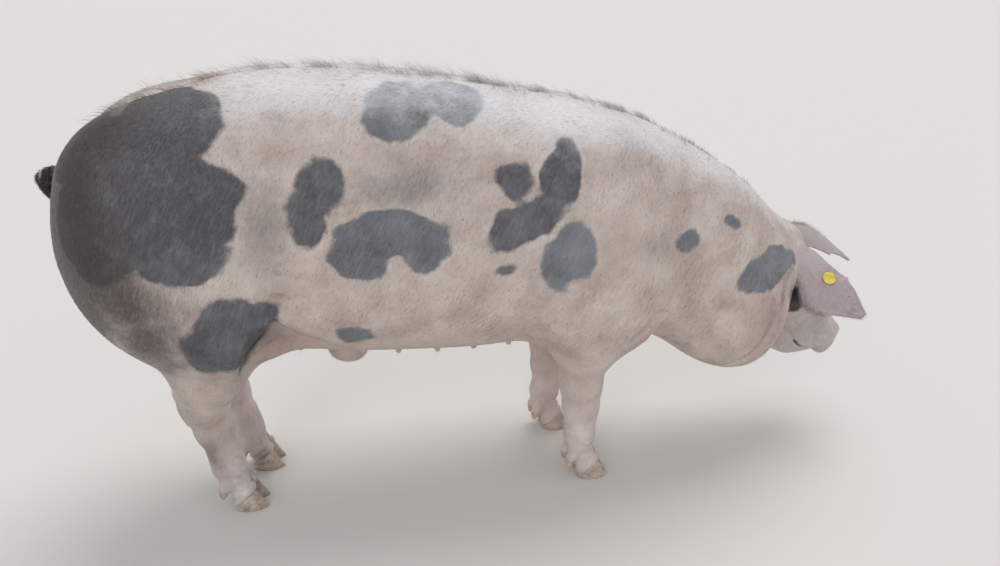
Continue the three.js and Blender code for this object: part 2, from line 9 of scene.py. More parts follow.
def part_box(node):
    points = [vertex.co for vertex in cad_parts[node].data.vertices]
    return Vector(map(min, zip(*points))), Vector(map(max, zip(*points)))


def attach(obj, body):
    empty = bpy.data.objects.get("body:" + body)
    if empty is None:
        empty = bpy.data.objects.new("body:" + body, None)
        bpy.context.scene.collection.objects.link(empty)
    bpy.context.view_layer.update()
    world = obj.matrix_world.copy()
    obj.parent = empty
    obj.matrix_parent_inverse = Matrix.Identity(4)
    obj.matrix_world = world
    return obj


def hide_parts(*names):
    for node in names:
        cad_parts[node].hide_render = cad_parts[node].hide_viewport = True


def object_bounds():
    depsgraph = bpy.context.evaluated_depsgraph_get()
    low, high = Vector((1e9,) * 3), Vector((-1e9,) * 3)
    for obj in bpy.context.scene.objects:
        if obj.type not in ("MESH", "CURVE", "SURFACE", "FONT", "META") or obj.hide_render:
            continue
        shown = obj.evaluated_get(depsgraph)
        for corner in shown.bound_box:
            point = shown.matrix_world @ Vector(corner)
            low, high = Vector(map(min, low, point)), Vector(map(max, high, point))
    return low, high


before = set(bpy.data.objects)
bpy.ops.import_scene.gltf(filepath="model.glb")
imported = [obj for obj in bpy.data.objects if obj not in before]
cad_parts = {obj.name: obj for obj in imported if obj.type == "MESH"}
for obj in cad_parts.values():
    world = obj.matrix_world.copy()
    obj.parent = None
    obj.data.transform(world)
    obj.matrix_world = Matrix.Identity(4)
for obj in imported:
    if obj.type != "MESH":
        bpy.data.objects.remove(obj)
cadBox = [list(map(float, corner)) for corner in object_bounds()]

# Lengths are in millimetres in the pig's own frame, +X forward, +Y to its left, +Z up,
# and toScene turns them into the frame's metres.
dice = np.random.default_rng(11)


def turned(axis, degrees):
    return np.array(Matrix.Rotation(math.radians(degrees), 4, axis))


def moved(place):
    return np.array(Matrix.Translation(place))


def through(matrix, points):
    return points @ matrix[:3, :3].T + matrix[:3, 3]


head = {"disc": (988, 15, 213), "down": 61, "turn": -18, "roll": 7}
headFrame = (
    moved(head["disc"]) @ turned("Z", head["turn"]) @ turned("Y", head["down"]) @ turned("X", head["roll"])
)
eye = {"at": (-142, 62, 2), "radius": 13}
snout = {"tilt": 32, "half": 46.5, "high": 40.5, "back": -14, "front": 7.5, "rim": 7}
snoutFrame = headFrame @ turned("Y", -snout["tilt"])


def eyeCentre(side):
    return through(headFrame, np.array([[eye["at"][0], side * eye["at"][1], eye["at"][2]]]))[0]


eyeBox = np.array(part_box("eye_right"), dtype=float)
shift = eyeBox.mean(axis=0) * 1000 - eyeCentre(-1)
shift[2] = 0


def toScene(points):
    return (np.asarray(points) + shift) * 0.001


# Forms are fields: the distance to a surface in millimetres, negative inside.
def unit(v):
    v = np.asarray(v, dtype=float)
    return v / np.maximum(np.linalg.norm(v, axis=-1, keepdims=True), 1e-9)


def blended(a, b, soft):
    h = np.maximum(soft - np.abs(a - b), 0) / soft
    return np.minimum(a, b) - h * h * soft / 4


def carved(a, b, soft):  # a with the inside of b taken away
    return -blended(-a, b, soft)


def curveOf(x, v):  # smooth curve through the values v at the stations x
    slope = np.empty_like(v)
    slope[1:-1] = (v[2:] - v[:-2]) / (x[2:] - x[:-2])
    slope[0] = (v[1] - v[0]) / (x[1] - x[0])
    slope[-1] = (v[-1] - v[-2]) / (x[-1] - x[-2])

    def at(u):
        i = np.clip(np.searchsorted(x, u, side="left") - 1, 0, len(x) - 2)
        d = x[i + 1] - x[i]
        t = np.clip((u - x[i]) / d, 0, 1)
        t2, t3 = t * t, t * t * t
        return (
            (2 * t3 - 3 * t2 + 1) * v[i] + (t3 - 2 * t2 + t) * d * slope[i]
            + (3 * t2 - 2 * t3) * v[i + 1] + (t3 - t2) * d * slope[i + 1]
        )

    return at


def loft(stations, power):  # rows of place, top, widest level, low and half width
    rows = np.array(stations, dtype=float)
    top, wide, low, half = [curveOf(rows[:, 0], rows[:, k]) for k in (1, 2, 3, 4)]

    def field(p):
        at = np.clip(p[:, 0], rows[0, 0], rows[-1, 0])
        middle, side = wide(at), half(at)
        high = np.where(p[:, 2] > middle, top(at) - middle, middle - low(at))
        a = np.abs(p[:, 1]) / side
        b = np.abs(p[:, 2] - middle) / high
        k = np.maximum((a**power + b**power) ** (1 / power), 1e-6)
        grow = np.hypot((a / k) ** (power - 1) / side, (b / k) ** (power - 1) / high)
        across = (k - 1) / grow
        return np.where(p[:, 0] == at, across, np.hypot(np.maximum(across, 0), p[:, 0] - at))

    return field


def ball(at, size, lean=0, side=1):  # an ellipsoid, leaned about Y
    c, s = math.cos(math.radians(lean)), math.sin(math.radians(lean))

    def field(p):
        x, z = p[:, 0] - at[0], p[:, 2] - at[2]
        u, v, w = (c * x - s * z) / size[0], (p[:, 1] - side * at[1]) / size[1], (s * x + c * z) / size[2]
        k = np.sqrt(u * u + v * v + w * w)
        grow = np.sqrt((u / size[0]) ** 2 + (v / size[1]) ** 2 + (w / size[2]) ** 2)
        return k * (k - 1) / np.maximum(grow, 1e-6)

    return field


def bone(a, b, ra, rb):  # a rounded bar between two joints
    a, b = np.array(a, dtype=float), np.array(b, dtype=float)
    d = b - a

    def field(p):
        t = np.clip((p - a) @ d / (d @ d), 0, 1)
        return np.linalg.norm(p - a - t[:, None] * d, axis=1) - (ra + t * (rb - ra))

    return field


def placed(field, matrix):
    back = np.linalg.inv(matrix)
    return lambda p: field(through(back, p))


trunk = {
    "square": 2.25,
    "stations": [
        (-639, 682, 630, 579, 41), (-623, 720, 615, 508, 90), (-582, 772, 602, 436, 135),
        (-508, 830, 595, 383, 170), (-406, 881, 590, 356, 194), (-263, 908, 579, 336, 209),
        (-99, 905, 564, 320, 220), (85, 881, 554, 311, 227), (238, 854, 549, 313, 219),
        (371, 827, 533, 320, 200), (494, 782, 492, 295, 180), (607, 724, 446, 250, 160),
        (709, 655, 400, 228, 137), (785, 586, 395, 256, 102), (826, 545, 411, 303, 74),
        (857, 500, 416, 356, 31),
    ],
}
muscles = {
    "ham": ((-431, 106, 569), (186, 121, 237), -14),
    "rump": ((-411, 65, 698), (180, 112, 115), 14),
    "stifle": ((-371, 123, 459), (86, 80, 115), -20),
    "shoulder": ((346, 115, 549), (153, 106, 225), -14),
    "arm": ((357, 121, 405), (92, 78, 115), 12),
    "jowl": ((690, 63, 322), (104, 84, 98), 20),
}
hindChain = [
    ((-376, 108, 436), 100), ((-404, 98, 330), 74), ((-420, 88, 252), 46), ((-406, 84, 188), 37),
    ((-391, 82, 130), 31), ((-385, 82, 98), 32), ((-372, 80, 62), 30),
]
hockPoint = ((-450, 88, 282), 26)
foreChain = [
    ((352, 110, 405), 82), ((338, 106, 304), 60), ((334, 104, 222), 44), ((334, 104, 166), 38),
    ((335, 104, 122), 30), ((332, 104, 94), 32), ((334, 104, 60), 29),
]
toeEnds = [((22, 16, 38), 20), ((4, 18, 23), 18)]  # front and heel of a toe, from under the last joint
straight = {"from": 60, "over": 360}  # a leg is set aside in full at the first height, less and less above
stance = {  # how far each foot is set forward and outward
    "hind_right": {"chain": hindChain, "side": -1, "step": -14, "out": -8},
    "hind_left": {"chain": hindChain, "side": 1, "step": 14, "out": -8},
    "fore_right": {"chain": foreChain, "side": -1, "step": 8, "out": 0},
    "fore_left": {"chain": foreChain, "side": 1, "step": -18, "out": 4},
}
skull = {
    "square": 2.2,
    "stations": [
        (-330, 20, -20, -80, 40), (-300, 40, -18, -110, 70), (-265, 50, -20, -128, 90),
        (-225, 46, -24, -138, 102), (-185, 34, -28, -140, 102), (-140, 24, -26, -134, 86),
        (-95, 24, -18, -120, 65), (-50, 34, -8, -96, 53), (-14, 38, 0, -56, 46),
    ],
}
muzzle = {"joints": [(-24, 0, -10), (-80, 0, -34), (-150, 0, -44)], "radii": [33, 50, 64]}


def stood(joint, foot):
    (x, y, z), r = joint
    low = 1 - min(max((z - straight["from"]) / straight["over"], 0), 1)
    return (x + low * foot["step"], foot["side"] * (y + low * foot["out"]), z), r


def chainField(joints, spurs=(), soft=18):
    bars = [bone(a, b, ra, rb) for (a, ra), (b, rb) in list(zip(joints, joints[1:])) + list(spurs)]

    def field(p):
        d = bars[0](p)
        for bar in bars[1:]:
            d = blended(d, bar(p), soft)
        return d

    return field


def limbField(foot):
    joints = [stood(j, foot) for j in foot["chain"]]
    spurs = [(stood(hockPoint, foot), joints[2])] if foot["chain"] is hindChain else []
    x, y, _ = joints[-1][0]
    for out in (-1, 1):
        spurs.append([((x + at[0], y + out * at[1], at[2]), r) for at, r in toeEnds])
    return chainField(joints, spurs)


reach = 60  # how far from a form its blend is still worked out
softness = {"muscle": 90, "skull": 40, "muzzle": 30, "leg": 34}  # how softly each runs into the rest


def formOf(field, low, high, soft):
    margin = reach + soft
    return {"field": field, "low": np.array(low) - margin, "high": np.array(high) + margin, "soft": soft}


def joined(d, p, form):
    near = np.all((p > form["low"]) & (p < form["high"]), axis=1)
    if near.any():
        d[near] = blended(d[near], form["field"](p[near]), form["soft"])
    return d


trunkField = loft(trunk["stations"], trunk["square"])
forms = []
for at, size, lean in muscles.values():
    widest = max(size[0], size[2])
    for side in (-1, 1):
        centre = np.array([at[0], side * at[1], at[2]])
        half = np.array([widest, size[1], widest])
        forms.append(formOf(ball(at, size, lean, side), centre - half, centre + half, softness["muscle"]))
skullMiddle = through(headFrame, np.array([[-170.0, 0, -30]]))[0]
skullReach, legReach = 200, 90
braincase = placed(loft(skull["stations"], skull["square"]), headFrame)
muzzleField = placed(chainField(list(zip(muzzle["joints"], muzzle["radii"]))), snoutFrame)


def skullField(p):
    return blended(braincase(p), muzzleField(p), softness["muzzle"])


forms.append(formOf(skullField, skullMiddle - skullReach, skullMiddle + skullReach, softness["skull"]))
for foot in stance.values():
    spots = np.array([stood(j, foot)[0] for j in foot["chain"] + [hockPoint] * (foot["chain"] is hindChain)])
    low, high = spots.min(axis=0) - legReach, spots.max(axis=0) + legReach
    forms.append(formOf(limbField(foot), low, high, softness["leg"]))


def flesh(p):
    d = trunkField(p)
    for form in forms:
        d = joined(d, p, form)
    return d


# Meshing: a net of quads over a field's surface, drawn even and pulled onto the surface.
def untwist(value):  # no square of the grid may have its corners in and out by turns
    for _ in range(9):
        found = 0
        for a, b in ((0, 1), (0, 2), (1, 2)):
            ways = [np.zeros(3, dtype=int) for _ in range(4)]
            ways[1][a] = ways[2][b] = 1
            ways[3][[a, b]] = 1
            ends = np.array(value.shape) - ways[3]
            spans = [tuple(slice(w[k], ends[k] + w[k]) for k in range(3)) for w in ways]
            one, two, three, four = [value[span] < 0 for span in spans]
            for at in np.argwhere((one == four) & (two == three) & (one != two)):
                spots = [tuple(at + way) for way in ways]
                least = min(spots, key=lambda spot: abs(value[spot]))
                value[least] *= -1
                found += 1
        if not found:
            return


def netSurface(field, low, high, step, block=4):
    low, high = np.array(low, dtype=float), np.array(high, dtype=float)
    count = (np.ceil((high - low) / step / block).astype(int) + 1) * block
    value = np.empty(count, dtype=np.float32)
    blocks = count // block
    middles = np.stack(np.meshgrid(*[np.arange(n) for n in blocks], indexing="ij"), -1).reshape(-1, 3)
    d = field(low + (middles * block + (block - 1) / 2) * step)
    far = 1.09 * block * step + 4  # beyond this a block can't hold any of the surface
    coarse = np.where(np.abs(d) < far, 0, np.sign(d)).reshape(blocks)
    value[:] = np.repeat(np.repeat(np.repeat(coarse, block, 0), block, 1), block, 2) * step
    near = np.argwhere(value == 0)
    value[tuple(near.T)] = field(low + near * step)
    untwist(value)
    inside = value < 0
    corners = [(a, b, c) for a in (0, 1) for b in (0, 1) for c in (0, 1)]
    cut = [slice(None, -1), slice(1, None)]
    total = sum(inside[cut[a], cut[b], cut[c]].astype(np.int8) for a, b, c in corners)
    cells = np.argwhere((total > 0) & (total < 8))
    ids = np.full(np.array(value.shape) - 1, -1, dtype=np.int64)
    ids[tuple(cells.T)] = np.arange(len(cells))
    sums, hits = np.zeros((len(cells), 3)), np.zeros(len(cells))
    for start in corners:
        for axis in range(3):
            if start[axis]:
                continue
            end = list(start)
            end[axis] = 1
            va = value[tuple((cells + start).T)]
            vb = value[tuple((cells + end).T)]
            crossed = (va < 0) != (vb < 0)
            t = np.where(crossed, va / np.where(crossed, va - vb, 1), 0)
            point = np.array(start) + t[:, None] * (np.array(end) - np.array(start))
            sums += np.where(crossed[:, None], point, 0)
            hits += crossed
    points = low + (cells + sums / hits[:, None]) * step
    quads = []
    for axis in range(3):
        a = [slice(None)] * 3
        b = [slice(None)] * 3
        a[axis], b[axis] = slice(None, -1), slice(1, None)
        here = np.argwhere(inside[tuple(a)] != inside[tuple(b)])
        u, v = (axis + 1) % 3, (axis + 2) % 3
        here = here[(here[:, u] > 0) & (here[:, v] > 0)]
        eu, ev = np.eye(3, dtype=int)[u], np.eye(3, dtype=int)[v]
        ring = [ids[tuple((here - s * eu - t * ev).T)] for s, t in ((1, 1), (0, 1), (0, 0), (1, 0))]
        faces = np.stack(ring, axis=1)
        flip = ~inside[tuple(here.T)]
        faces[flip] = faces[flip][:, ::-1]
        quads.append(faces)
    return points, np.concatenate(quads)


def slopeOf(field, p, d, apart=0.4):
    return np.stack([(field(p + apart * axis) - d) / apart for axis in np.eye(3)], axis=1)


def settled(p, field, most, turns=3):  # moves points onto the surface of a field
    p = p.copy()
    for _ in range(turns):
        d = field(p)
        g = slopeOf(field, p, d)
        long = np.maximum((g * g).sum(axis=1), 0.25)
        p -= g * np.clip(d / long, -most, most)[:, None]
    return p


def relaxed(p, edges, share, who=None):  # draws points towards the middle of their neighbours
    sums = np.zeros_like(p)
    for k in range(3):
        sums[:, k] = np.bincount(edges[:, 0], p[edges[:, 1], k], len(p))
        sums[:, k] += np.bincount(edges[:, 1], p[edges[:, 0], k], len(p))
    count = np.bincount(edges.ravel(), minlength=len(p))
    middle = sums / np.maximum(count, 1)[:, None]
    pull = share if who is None else share * who[:, None]
    return p + pull * (middle - p)


def pointsOf(mesh):
    out = np.empty(len(mesh.vertices) * 3)
    mesh.vertices.foreach_get("co", out)
    return out.reshape(-1, 3)


def edgesOf(mesh):
    out = np.empty(len(mesh.edges) * 2, dtype=np.int64)
    mesh.edges.foreach_get("vertices", out)
    return out.reshape(-1, 2)


def setPoints(mesh, points):
    mesh.vertices.foreach_set("co", np.asarray(points, dtype=np.float32).ravel())
    mesh.update()


def meshOf(name, points, faces):
    mesh = bpy.data.meshes.new(name)
    mesh.from_pydata(np.asarray(points).tolist(), [], faces.tolist() if hasattr(faces, "tolist") else faces)
    mesh.update()
    return mesh


def objectOf(name, mesh):
    made = bpy.data.objects.new(name, mesh)
    bpy.context.scene.collection.objects.link(made)
    return made


def smooth(mesh):
    mesh.polygons.foreach_set("use_smooth", np.ones(len(mesh.polygons), dtype=bool))
    mesh.update()


def handOn(mesh, values):  # one number for each point, which the materials read by its name
    for name, numbers in values.items():
        layer = mesh.attributes.new(name, "FLOAT", "POINT")
        layer.data.foreach_set("value", np.asarray(numbers, dtype=np.float32))


# The skin's own forms: creases, folds, hollows and swellings laid on the flesh.
def alongLine(p, line):  # distance to a chain of points, and how far along it, from 0 to 1
    line = np.array(line, dtype=float)
    lengths = np.linalg.norm(np.diff(line, axis=0), axis=1)
    starts = np.concatenate([[0], np.cumsum(lengths)])
    best, where = np.full(len(p), 1e6), np.zeros(len(p))
    for a, b, long, start in zip(line, line[1:], lengths, starts):
        t = np.clip((p - a) @ (b - a) / (long * long), 0, 1)
        away = np.linalg.norm(p - a - t[:, None] * (b - a), axis=1)
        nearer = away < best
        best = np.where(nearer, away, best)
        where = np.where(nearer, (start + t * long) / starts[-1], where)
    return best, where


def smoothed(low, high, x):  # 0 at low, 1 at high
    t = np.clip((x - low) / (high - low), 0, 1)
    return t * t * (3 - 2 * t)


def hump(x, wide):  # 1 at 0, falling off to both sides
    return np.exp(-((x / wide) ** 2))


lattice = dice.random((32, 32, 32))


def noise(p, size):  # smooth noise from -1 to 1 with bumps about `size` across
    q = p / size
    i = np.floor(q).astype(int)
    f = q - i
    f = f * f * (3 - 2 * f)
    total = 0
    for a in (0, 1):
        for b in (0, 1):
            for c in (0, 1):
                corner = lattice[(i[:, 0] + a) % 32, (i[:, 1] + b) % 32, (i[:, 2] + c) % 32]
                weight = np.abs(1 - a - f[:, 0]) * np.abs(1 - b - f[:, 1]) * np.abs(1 - c - f[:, 2])
                total = total + corner * weight
    return total * 2 - 1


def noises(p, shifts, sizes):
    return np.stack([noise(p + shift, size) for shift, size in zip(shifts, sizes)], axis=1)


def toLeft(p):  # the same place on the left side
    return np.stack([p[:, 0], np.abs(p[:, 1]), p[:, 2]], axis=1)


def reached(p, at, size):  # below 1 inside an ellipsoid, 1 on it
    return np.sqrt((((p - np.array(at)) / np.array(size)) ** 2).sum(axis=1))


def dent(p, at, size):
    return np.exp(-reached(p, at, size) ** 2)


# Creases in the body: the line they follow, how deep and how wide they are.
bodyCreases = {
    "groin": ([(-262, 176, 430), (-272, 160, 400), (-286, 136, 368), (-300, 110, 344)], 8, 22),
    "flank": ([(-226, 208, 560), (-236, 208, 510), (-250, 200, 450)], 5, 30),
    "elbow": ([(262, 232, 530), (247, 228, 485), (233, 216, 440), (226, 196, 400), (224, 160, 360)], 11, 13),
    "foldEnd": ([(-252, 208, 520), (-262, 209, 490), (-266, 208, 468)], 7, 11),
    "armpit": ([(466, 196, 424), (456, 200, 398), (443, 199, 376), (420, 200, 358), (396, 198, 344)], 9, 12),
    "brisket": ([(462, 198, 420), (472, 194, 392), (482, 182, 362), (486, 156, 332), (486, 110, 300)],
                13, 16),
    "jowl": ([(660, 112, 226), (690, 132, 252), (714, 144, 279), (737, 148, 318), (748, 143, 350),
              (749, 139, 374), (744, 134, 402)], 15, 8),
    "nape": ([(640, 60, 700), (648, 110, 640), (660, 140, 570)], 3, 12),
    "nape2": ([(690, 50, 655), (700, 100, 600), (708, 126, 545)], 2.5, 10),
}
# Under the flank's fold the belly is set back behind the thigh: the fold runs from its top to
# the front, the thigh's edge runs to the rear.
flankFold = {
    "top": (-266, 470), "front": [(-226, 426), (-176, 388), (-128, 352)],
    "rear": [(-288, 448), (-312, 425), (-334, 396), (-342, 350)],
    "deep": 19, "lip": 9, "aside": (96, 140), "low": (292, 340), "along": (-400, -60),
    "edge": (3.0, 8, 9),  # the fold's thickened edge: how proud, how far out, how wide
}
groinPit = {"at": (-302, 178, 318), "size": (44, 66, 38), "soft": 22}  # between the thigh and the belly
cleft = {"deep": 24, "wide": 24, "from": -480, "to": -600, "low": 380, "high": 640, "fade": 40}
spine = {"deep": 4, "wide": 26, "from": -120, "to": -300}
# The bristles' own height, which the trunk's stations hold and the skin doesn't.
crest = {"deep": 27, "wide": 100, "under": (130, 30), "ends": (900, 780)}
ripple = {"wide": (1.6, 95), "fine": (0.7, 38), "above": (330, 420)}  # the flesh's unevenness
coatDepth = {"body": 2.6, "face": 0.8, "foot": 1.0}
headZone = {"back": (-330, -230), "wide": (150, 100), "near": (-350, 230)}  # where the head's forms run out
teats = {"rows": [-232, -172, -112, -40, 40, 116, 190], "aside": 62, "size": (5.5, 5.5, 11), "sunk": 6}
sheath = {"at": (-140, 0, 306), "size": (42, 23, 34), "lean": 10}
stations = np.array(trunk["stations"], dtype=float)
belly, backLine = curveOf(stations[:, 0], stations[:, 3]), curveOf(stations[:, 0], stations[:, 1])
trunkEnds = stations[0, 0], stations[-1, 0]
teatForms = [
    ball((x, teats["aside"], belly(np.array([float(x)]))[0] + teats["sunk"]), teats["size"], 0, side)
    for x in teats["rows"] for side in (-1, 1)
]

# Hollows and swellings of the head, in its own frame: place, half sizes and depth.
headForms = {
    "bridge": ((-115, 0, 26), (60, 34, 26), 5),
    "temple": ((-236, 84, 30), (34, 26, 30), 6),
    "underEye": ((-112, 66, -6), (34, 20, 18), 5),
    "snoutSide": ((-62, 54, -14), (30, 16, 22), 5),
    "lipBulge": ((-44, 44, -40), (26, 14, 12), -2.5),
    "brow": ((-158, 52, 30), (28, 18, 12), -3),
    "poll": ((-288, 0, 40), (30, 40, 20), -2),
    "cornerBulge": ((-72, 66, -50), (20, 12, 12), -3),
    "cheekHollow": ((-116, 74, -60), (24, 16, 18), 3),
    "foreheadDent": ((-200, 0, 44), (40, 22, 20), 2.5),
}
mouth = {  # in the disc's frame, on the pig's left
    "line": [(-2, 0, -43), (-8, 16, -42), (-22, 32, -40), (-42, 43, -37), (-60, 49, -33), (-74, 55, -27)],
    "deep": 8, "wide": 3.2,
}
faceCreases = {
    "bridge1": ([(-24, -34, 26), (-22, 0, 36), (-24, 34, 26)], 2.2, 3.0),
    "bridge2": ([(-35, -36, 24), (-32, 0, 35), (-35, 36, 24)], 1.7, 3.0),
    "bridge3": ([(-49, -38, 18), (-45, 0, 33), (-49, 38, 18)], 1.3, 3.4),
    "lip": ([(-34, 46, -26), (-60, 52, -34), (-92, 62, -44), (-116, 74, -46)], 2.0, 4.5),
    "underEye1": ([(-104, 60, 10), (-118, 74, -12), (-142, 84, -22), (-166, 86, -16)], 2.4, 3.6),
    "underEye2": ([(-92, 58, 4), (-108, 74, -22), (-138, 88, -36), (-172, 92, -30)], 2.0, 4.0),
    "brow1": ([(-112, 46, 22), (-132, 44, 30), (-156, 50, 32), (-176, 64, 26)], 2.0, 3.6),
    "brow2": ([(-118, 32, 26), (-140, 30, 34), (-168, 38, 38)], 1.4, 3.6),
    "cheek": ([(-128, 78, -66), (-150, 92, -62), (-176, 100, -40)], 2.5, 5.0),
    "cheek2": ([(-112, 62, -84), (-146, 78, -92), (-180, 92, -84)], 2.0, 5.0),
    "chin": ([(-6, 22, -66), (-22, 34, -82), (-44, 46, -96)], 2.0, 4.0),
    "corner": ([(-104, 64, -78), (-86, 62, -71), (-67, 59, -65), (-48, 57, -62), (-36, 55, -56)], 4.5, 4.0),
    "lip2": ([(-28, 50, -20), (-50, 56, -24), (-74, 60, -34), (-92, 62, -52)], 1.8, 4.5),
}
nostril = {"aside": 17.5, "up": 3, "size": (17, 6.5, 8.5)}
lid = {"thick": 4.6, "slit": 6.0, "long": 13.5, "tilt": 14, "looks": (0.34, 0.90, 0.26)}
earPit = {"at": (-184, -110, -22), "size": (32, 20, 22)}  # the opening behind the ear's rear edge, which is painted dark as shade
dish = {"deep": 2.2, "wide": 26}  # the hollow in the middle of the snout's disc


def eyeFrame(side):  # z looks out of the socket, x runs along the slit towards the snout
    ahead, aside, up = lid["looks"]
    out = unit([ahead, side * aside, up])
    slit = unit(np.cross(np.cross(out, [1, 0, -math.tan(math.radians(lid["tilt"]))]), out))
    matrix = np.eye(4)
    matrix[:3, 0], matrix[:3, 1], matrix[:3, 2] = slit, np.cross(out, slit), out
    matrix[:3, 3] = (eye["at"][0], side * eye["at"][1], eye["at"][2])
    return headFrame @ matrix


eyeBack = {side: np.linalg.inv(eyeFrame(side)) for side in (-1, 1)}
headBack = np.linalg.inv(headFrame)
snoutBack = np.linalg.inv(snoutFrame)


def creaseOf(p, line, deep, wide):
    ends = np.array(line, dtype=float)
    near = np.all((p > ends.min(axis=0) - 2.6 * wide) & (p < ends.max(axis=0) + 2.6 * wide), axis=1)
    out = np.zeros(len(p))
    if near.any():
        away, along = alongLine(p[near], line)
        fade = smoothed(0, 0.18, along) * smoothed(0, 0.18, 1 - along)
        out[near] = deep * hump(away, wide) * fade
    return out


def discField(q):  # the snout's disc in its own frame, with a rounded rim
    wide = (snout["half"] + snout["high"]) / 2
    radial = (np.hypot(q[:, 1] / snout["half"], q[:, 2] / snout["high"]) - 1) * wide
    middle, thick = (snout["front"] + snout["back"]) / 2, (snout["front"] - snout["back"]) / 2
    hollow = dish["deep"] * hump(np.hypot(q[:, 1], q[:, 2]), dish["wide"])
    a = radial + snout["rim"]
    b = np.abs(q[:, 0] - middle + hollow * (q[:, 0] > middle)) - thick + snout["rim"]
    return np.hypot(np.maximum(a, 0), np.maximum(b, 0)) + np.minimum(np.maximum(a, b), 0) - snout["rim"]


def underFold(p):  # how far a point is inside the hollow of the groin, and its share of the depth
    x, y, z = p.T
    rear, front = flankFold["along"]
    inside = np.full(len(p), 60.0)
    for edge, way in ((flankFold["front"], -1), (flankFold["rear"], 1)):
        line = np.array([flankFold["top"]] + edge, dtype=float)
        flat = np.stack([x, z], axis=1)
        best, signed = np.full(len(p), 1e6), np.zeros(len(p))
        for a, b in zip(line, line[1:]):
            t = np.clip((flat - a) @ (b - a) / ((b - a) @ (b - a)), 0, 1)
            off = flat - a - t[:, None] * (b - a)
            away = np.hypot(off[:, 0], off[:, 1])
            turn = way * ((b - a)[0] * off[:, 1] - (b - a)[1] * off[:, 0])
            signed = np.where(away < best, np.sign(turn) * away, signed)
            best = np.minimum(best, away)
        inside = np.minimum(inside, signed)
    share = smoothed(*flankFold["aside"], np.abs(y)) * smoothed(*flankFold["low"], z)
    return inside, share * (x < front) * (x > rear)


def bodyDetail(p, d):
    x, y, z = p.T
    side = np.abs(y)
    left = toLeft(p)
    pit = reached(left, groinPit["at"], groinPit["size"])
    d = np.where(pit < 2.2, carved(d, (pit - 1) * groinPit["size"][2], groinPit["soft"]), d)
    near = (x > flankFold["along"][0]) & (x < flankFold["along"][1]) & (z > 280) & (z < 500) & (side > 90)
    if near.any():
        inside, share = underFold(p[near])
        proud, out, wide = flankFold["edge"]
        d[near] = d[near] + flankFold["deep"] * smoothed(0, flankFold["lip"], inside) * share
        d[near] = d[near] - proud * hump(inside + out, wide) * share
    for line, deep, wide in bodyCreases.values():
        d = d + creaseOf(left, line, deep, wide)
    low, high, fade = cleft["low"], cleft["high"], cleft["fade"]
    height = smoothed(low - 1.5 * fade, low + fade, z) * smoothed(high + fade, high - fade, z)
    height = height * smoothed(cleft["from"], cleft["to"], x)
    d = d + cleft["deep"] * hump(side, cleft["wide"]) * height
    top = smoothed(*crest["under"], backLine(np.clip(x, *trunkEnds)) - z)
    d = d + crest["deep"] * hump(side, crest["wide"]) * top * smoothed(*crest["ends"], x)
    top = top * smoothed(spine["from"], spine["to"], x)
    d = d + spine["deep"] * hump(side, spine["wide"]) * top
    for (high, size), where in ((ripple["wide"], 1), (ripple["fine"], smoothed(*ripple["above"], z))):
        d = d + high * noise(p, size) * where
    return d


def openedEye(p, d, side):  # a ring of lid round the ball, with the slit cut through it
    e = through(eyeBack[side], p)
    far = np.linalg.norm(e, axis=1)
    d = np.where(far < 60, blended(d, far - eye["radius"] - lid["thick"], 9), d)
    almond = np.abs(e[:, 1]) - lid["slit"] * (1 - (np.minimum(np.abs(e[:, 0]) / lid["long"], 1)) ** 2)
    opening = np.maximum(np.maximum(almond, eye["radius"] - 1.5 - far), -e[:, 2])
    return np.where(far < 40, carved(d, opening, 1.6), d)


def headDetail(p, d):
    q = through(headBack, p)
    left = toLeft(q)
    for at, size, deep in headForms.values():
        d = d + deep * dent(left, at, size)
    for line, deep, wide in faceCreases.values():
        d = d + creaseOf(left, line, deep, wide)
    s = through(snoutBack, p)
    d = blended(d, discField(s), 9)
    away, along = alongLine(toLeft(s), mouth["line"])
    d = d + mouth["deep"] * hump(away, mouth["wide"]) * smoothed(1.0, 0.8, along)
    for side in (-1, 1):
        k = reached(s, (snout["front"] + 1, side * nostril["aside"], nostril["up"]), nostril["size"])
        d = carved(d, (k - 1) * nostril["size"][1], 3)
    for side in (-1, 1):
        d = openedEye(p, d, side)
    d = carved(d, (reached(q, earPit["at"], earPit["size"]) - 1) * earPit["size"][1], 8)
    return d + 0.8 * noise(p, 17) + 0.35 * noise(p, 7)


sheathField = ball(sheath["at"], sheath["size"], sheath["lean"])
claw = {
    "at": 27, "apart": 18.5, "reach": 34, "half": 17.5, "rake": 0.55, "narrow": 0.06, "point": 0.24,
    "coronet": 16, "slope": 40, "splay": 3, "span": (68, 30, 62), "lowest": -4.6,
}
dewclaw = {"at": (-26, 19, 46), "size": (10, 9, 20), "lean": 14, "span": (24, 16, 30)}
tucked = 3.0  # how far the skin ends inside the claws and above the floor
footForms = {  # how deep or proud, then for the rings how high up, and how wide
    "between": (10, 5), "behind": (6, 6), "band": (1.2, 5, 5), "groove": (1.3, 15, 4), "fold": (1.4, 84, 6),
}


def footFrame(foot):
    x, y, _ = stood(foot["chain"][-1], foot)[0]
    return moved((x, y, 0))


onClaw = moved((0, 0, claw["coronet"])) @ turned("Y", -claw["slope"])
coronetBack = {name: np.linalg.inv(footFrame(foot) @ onClaw) for name, foot in stance.items()}


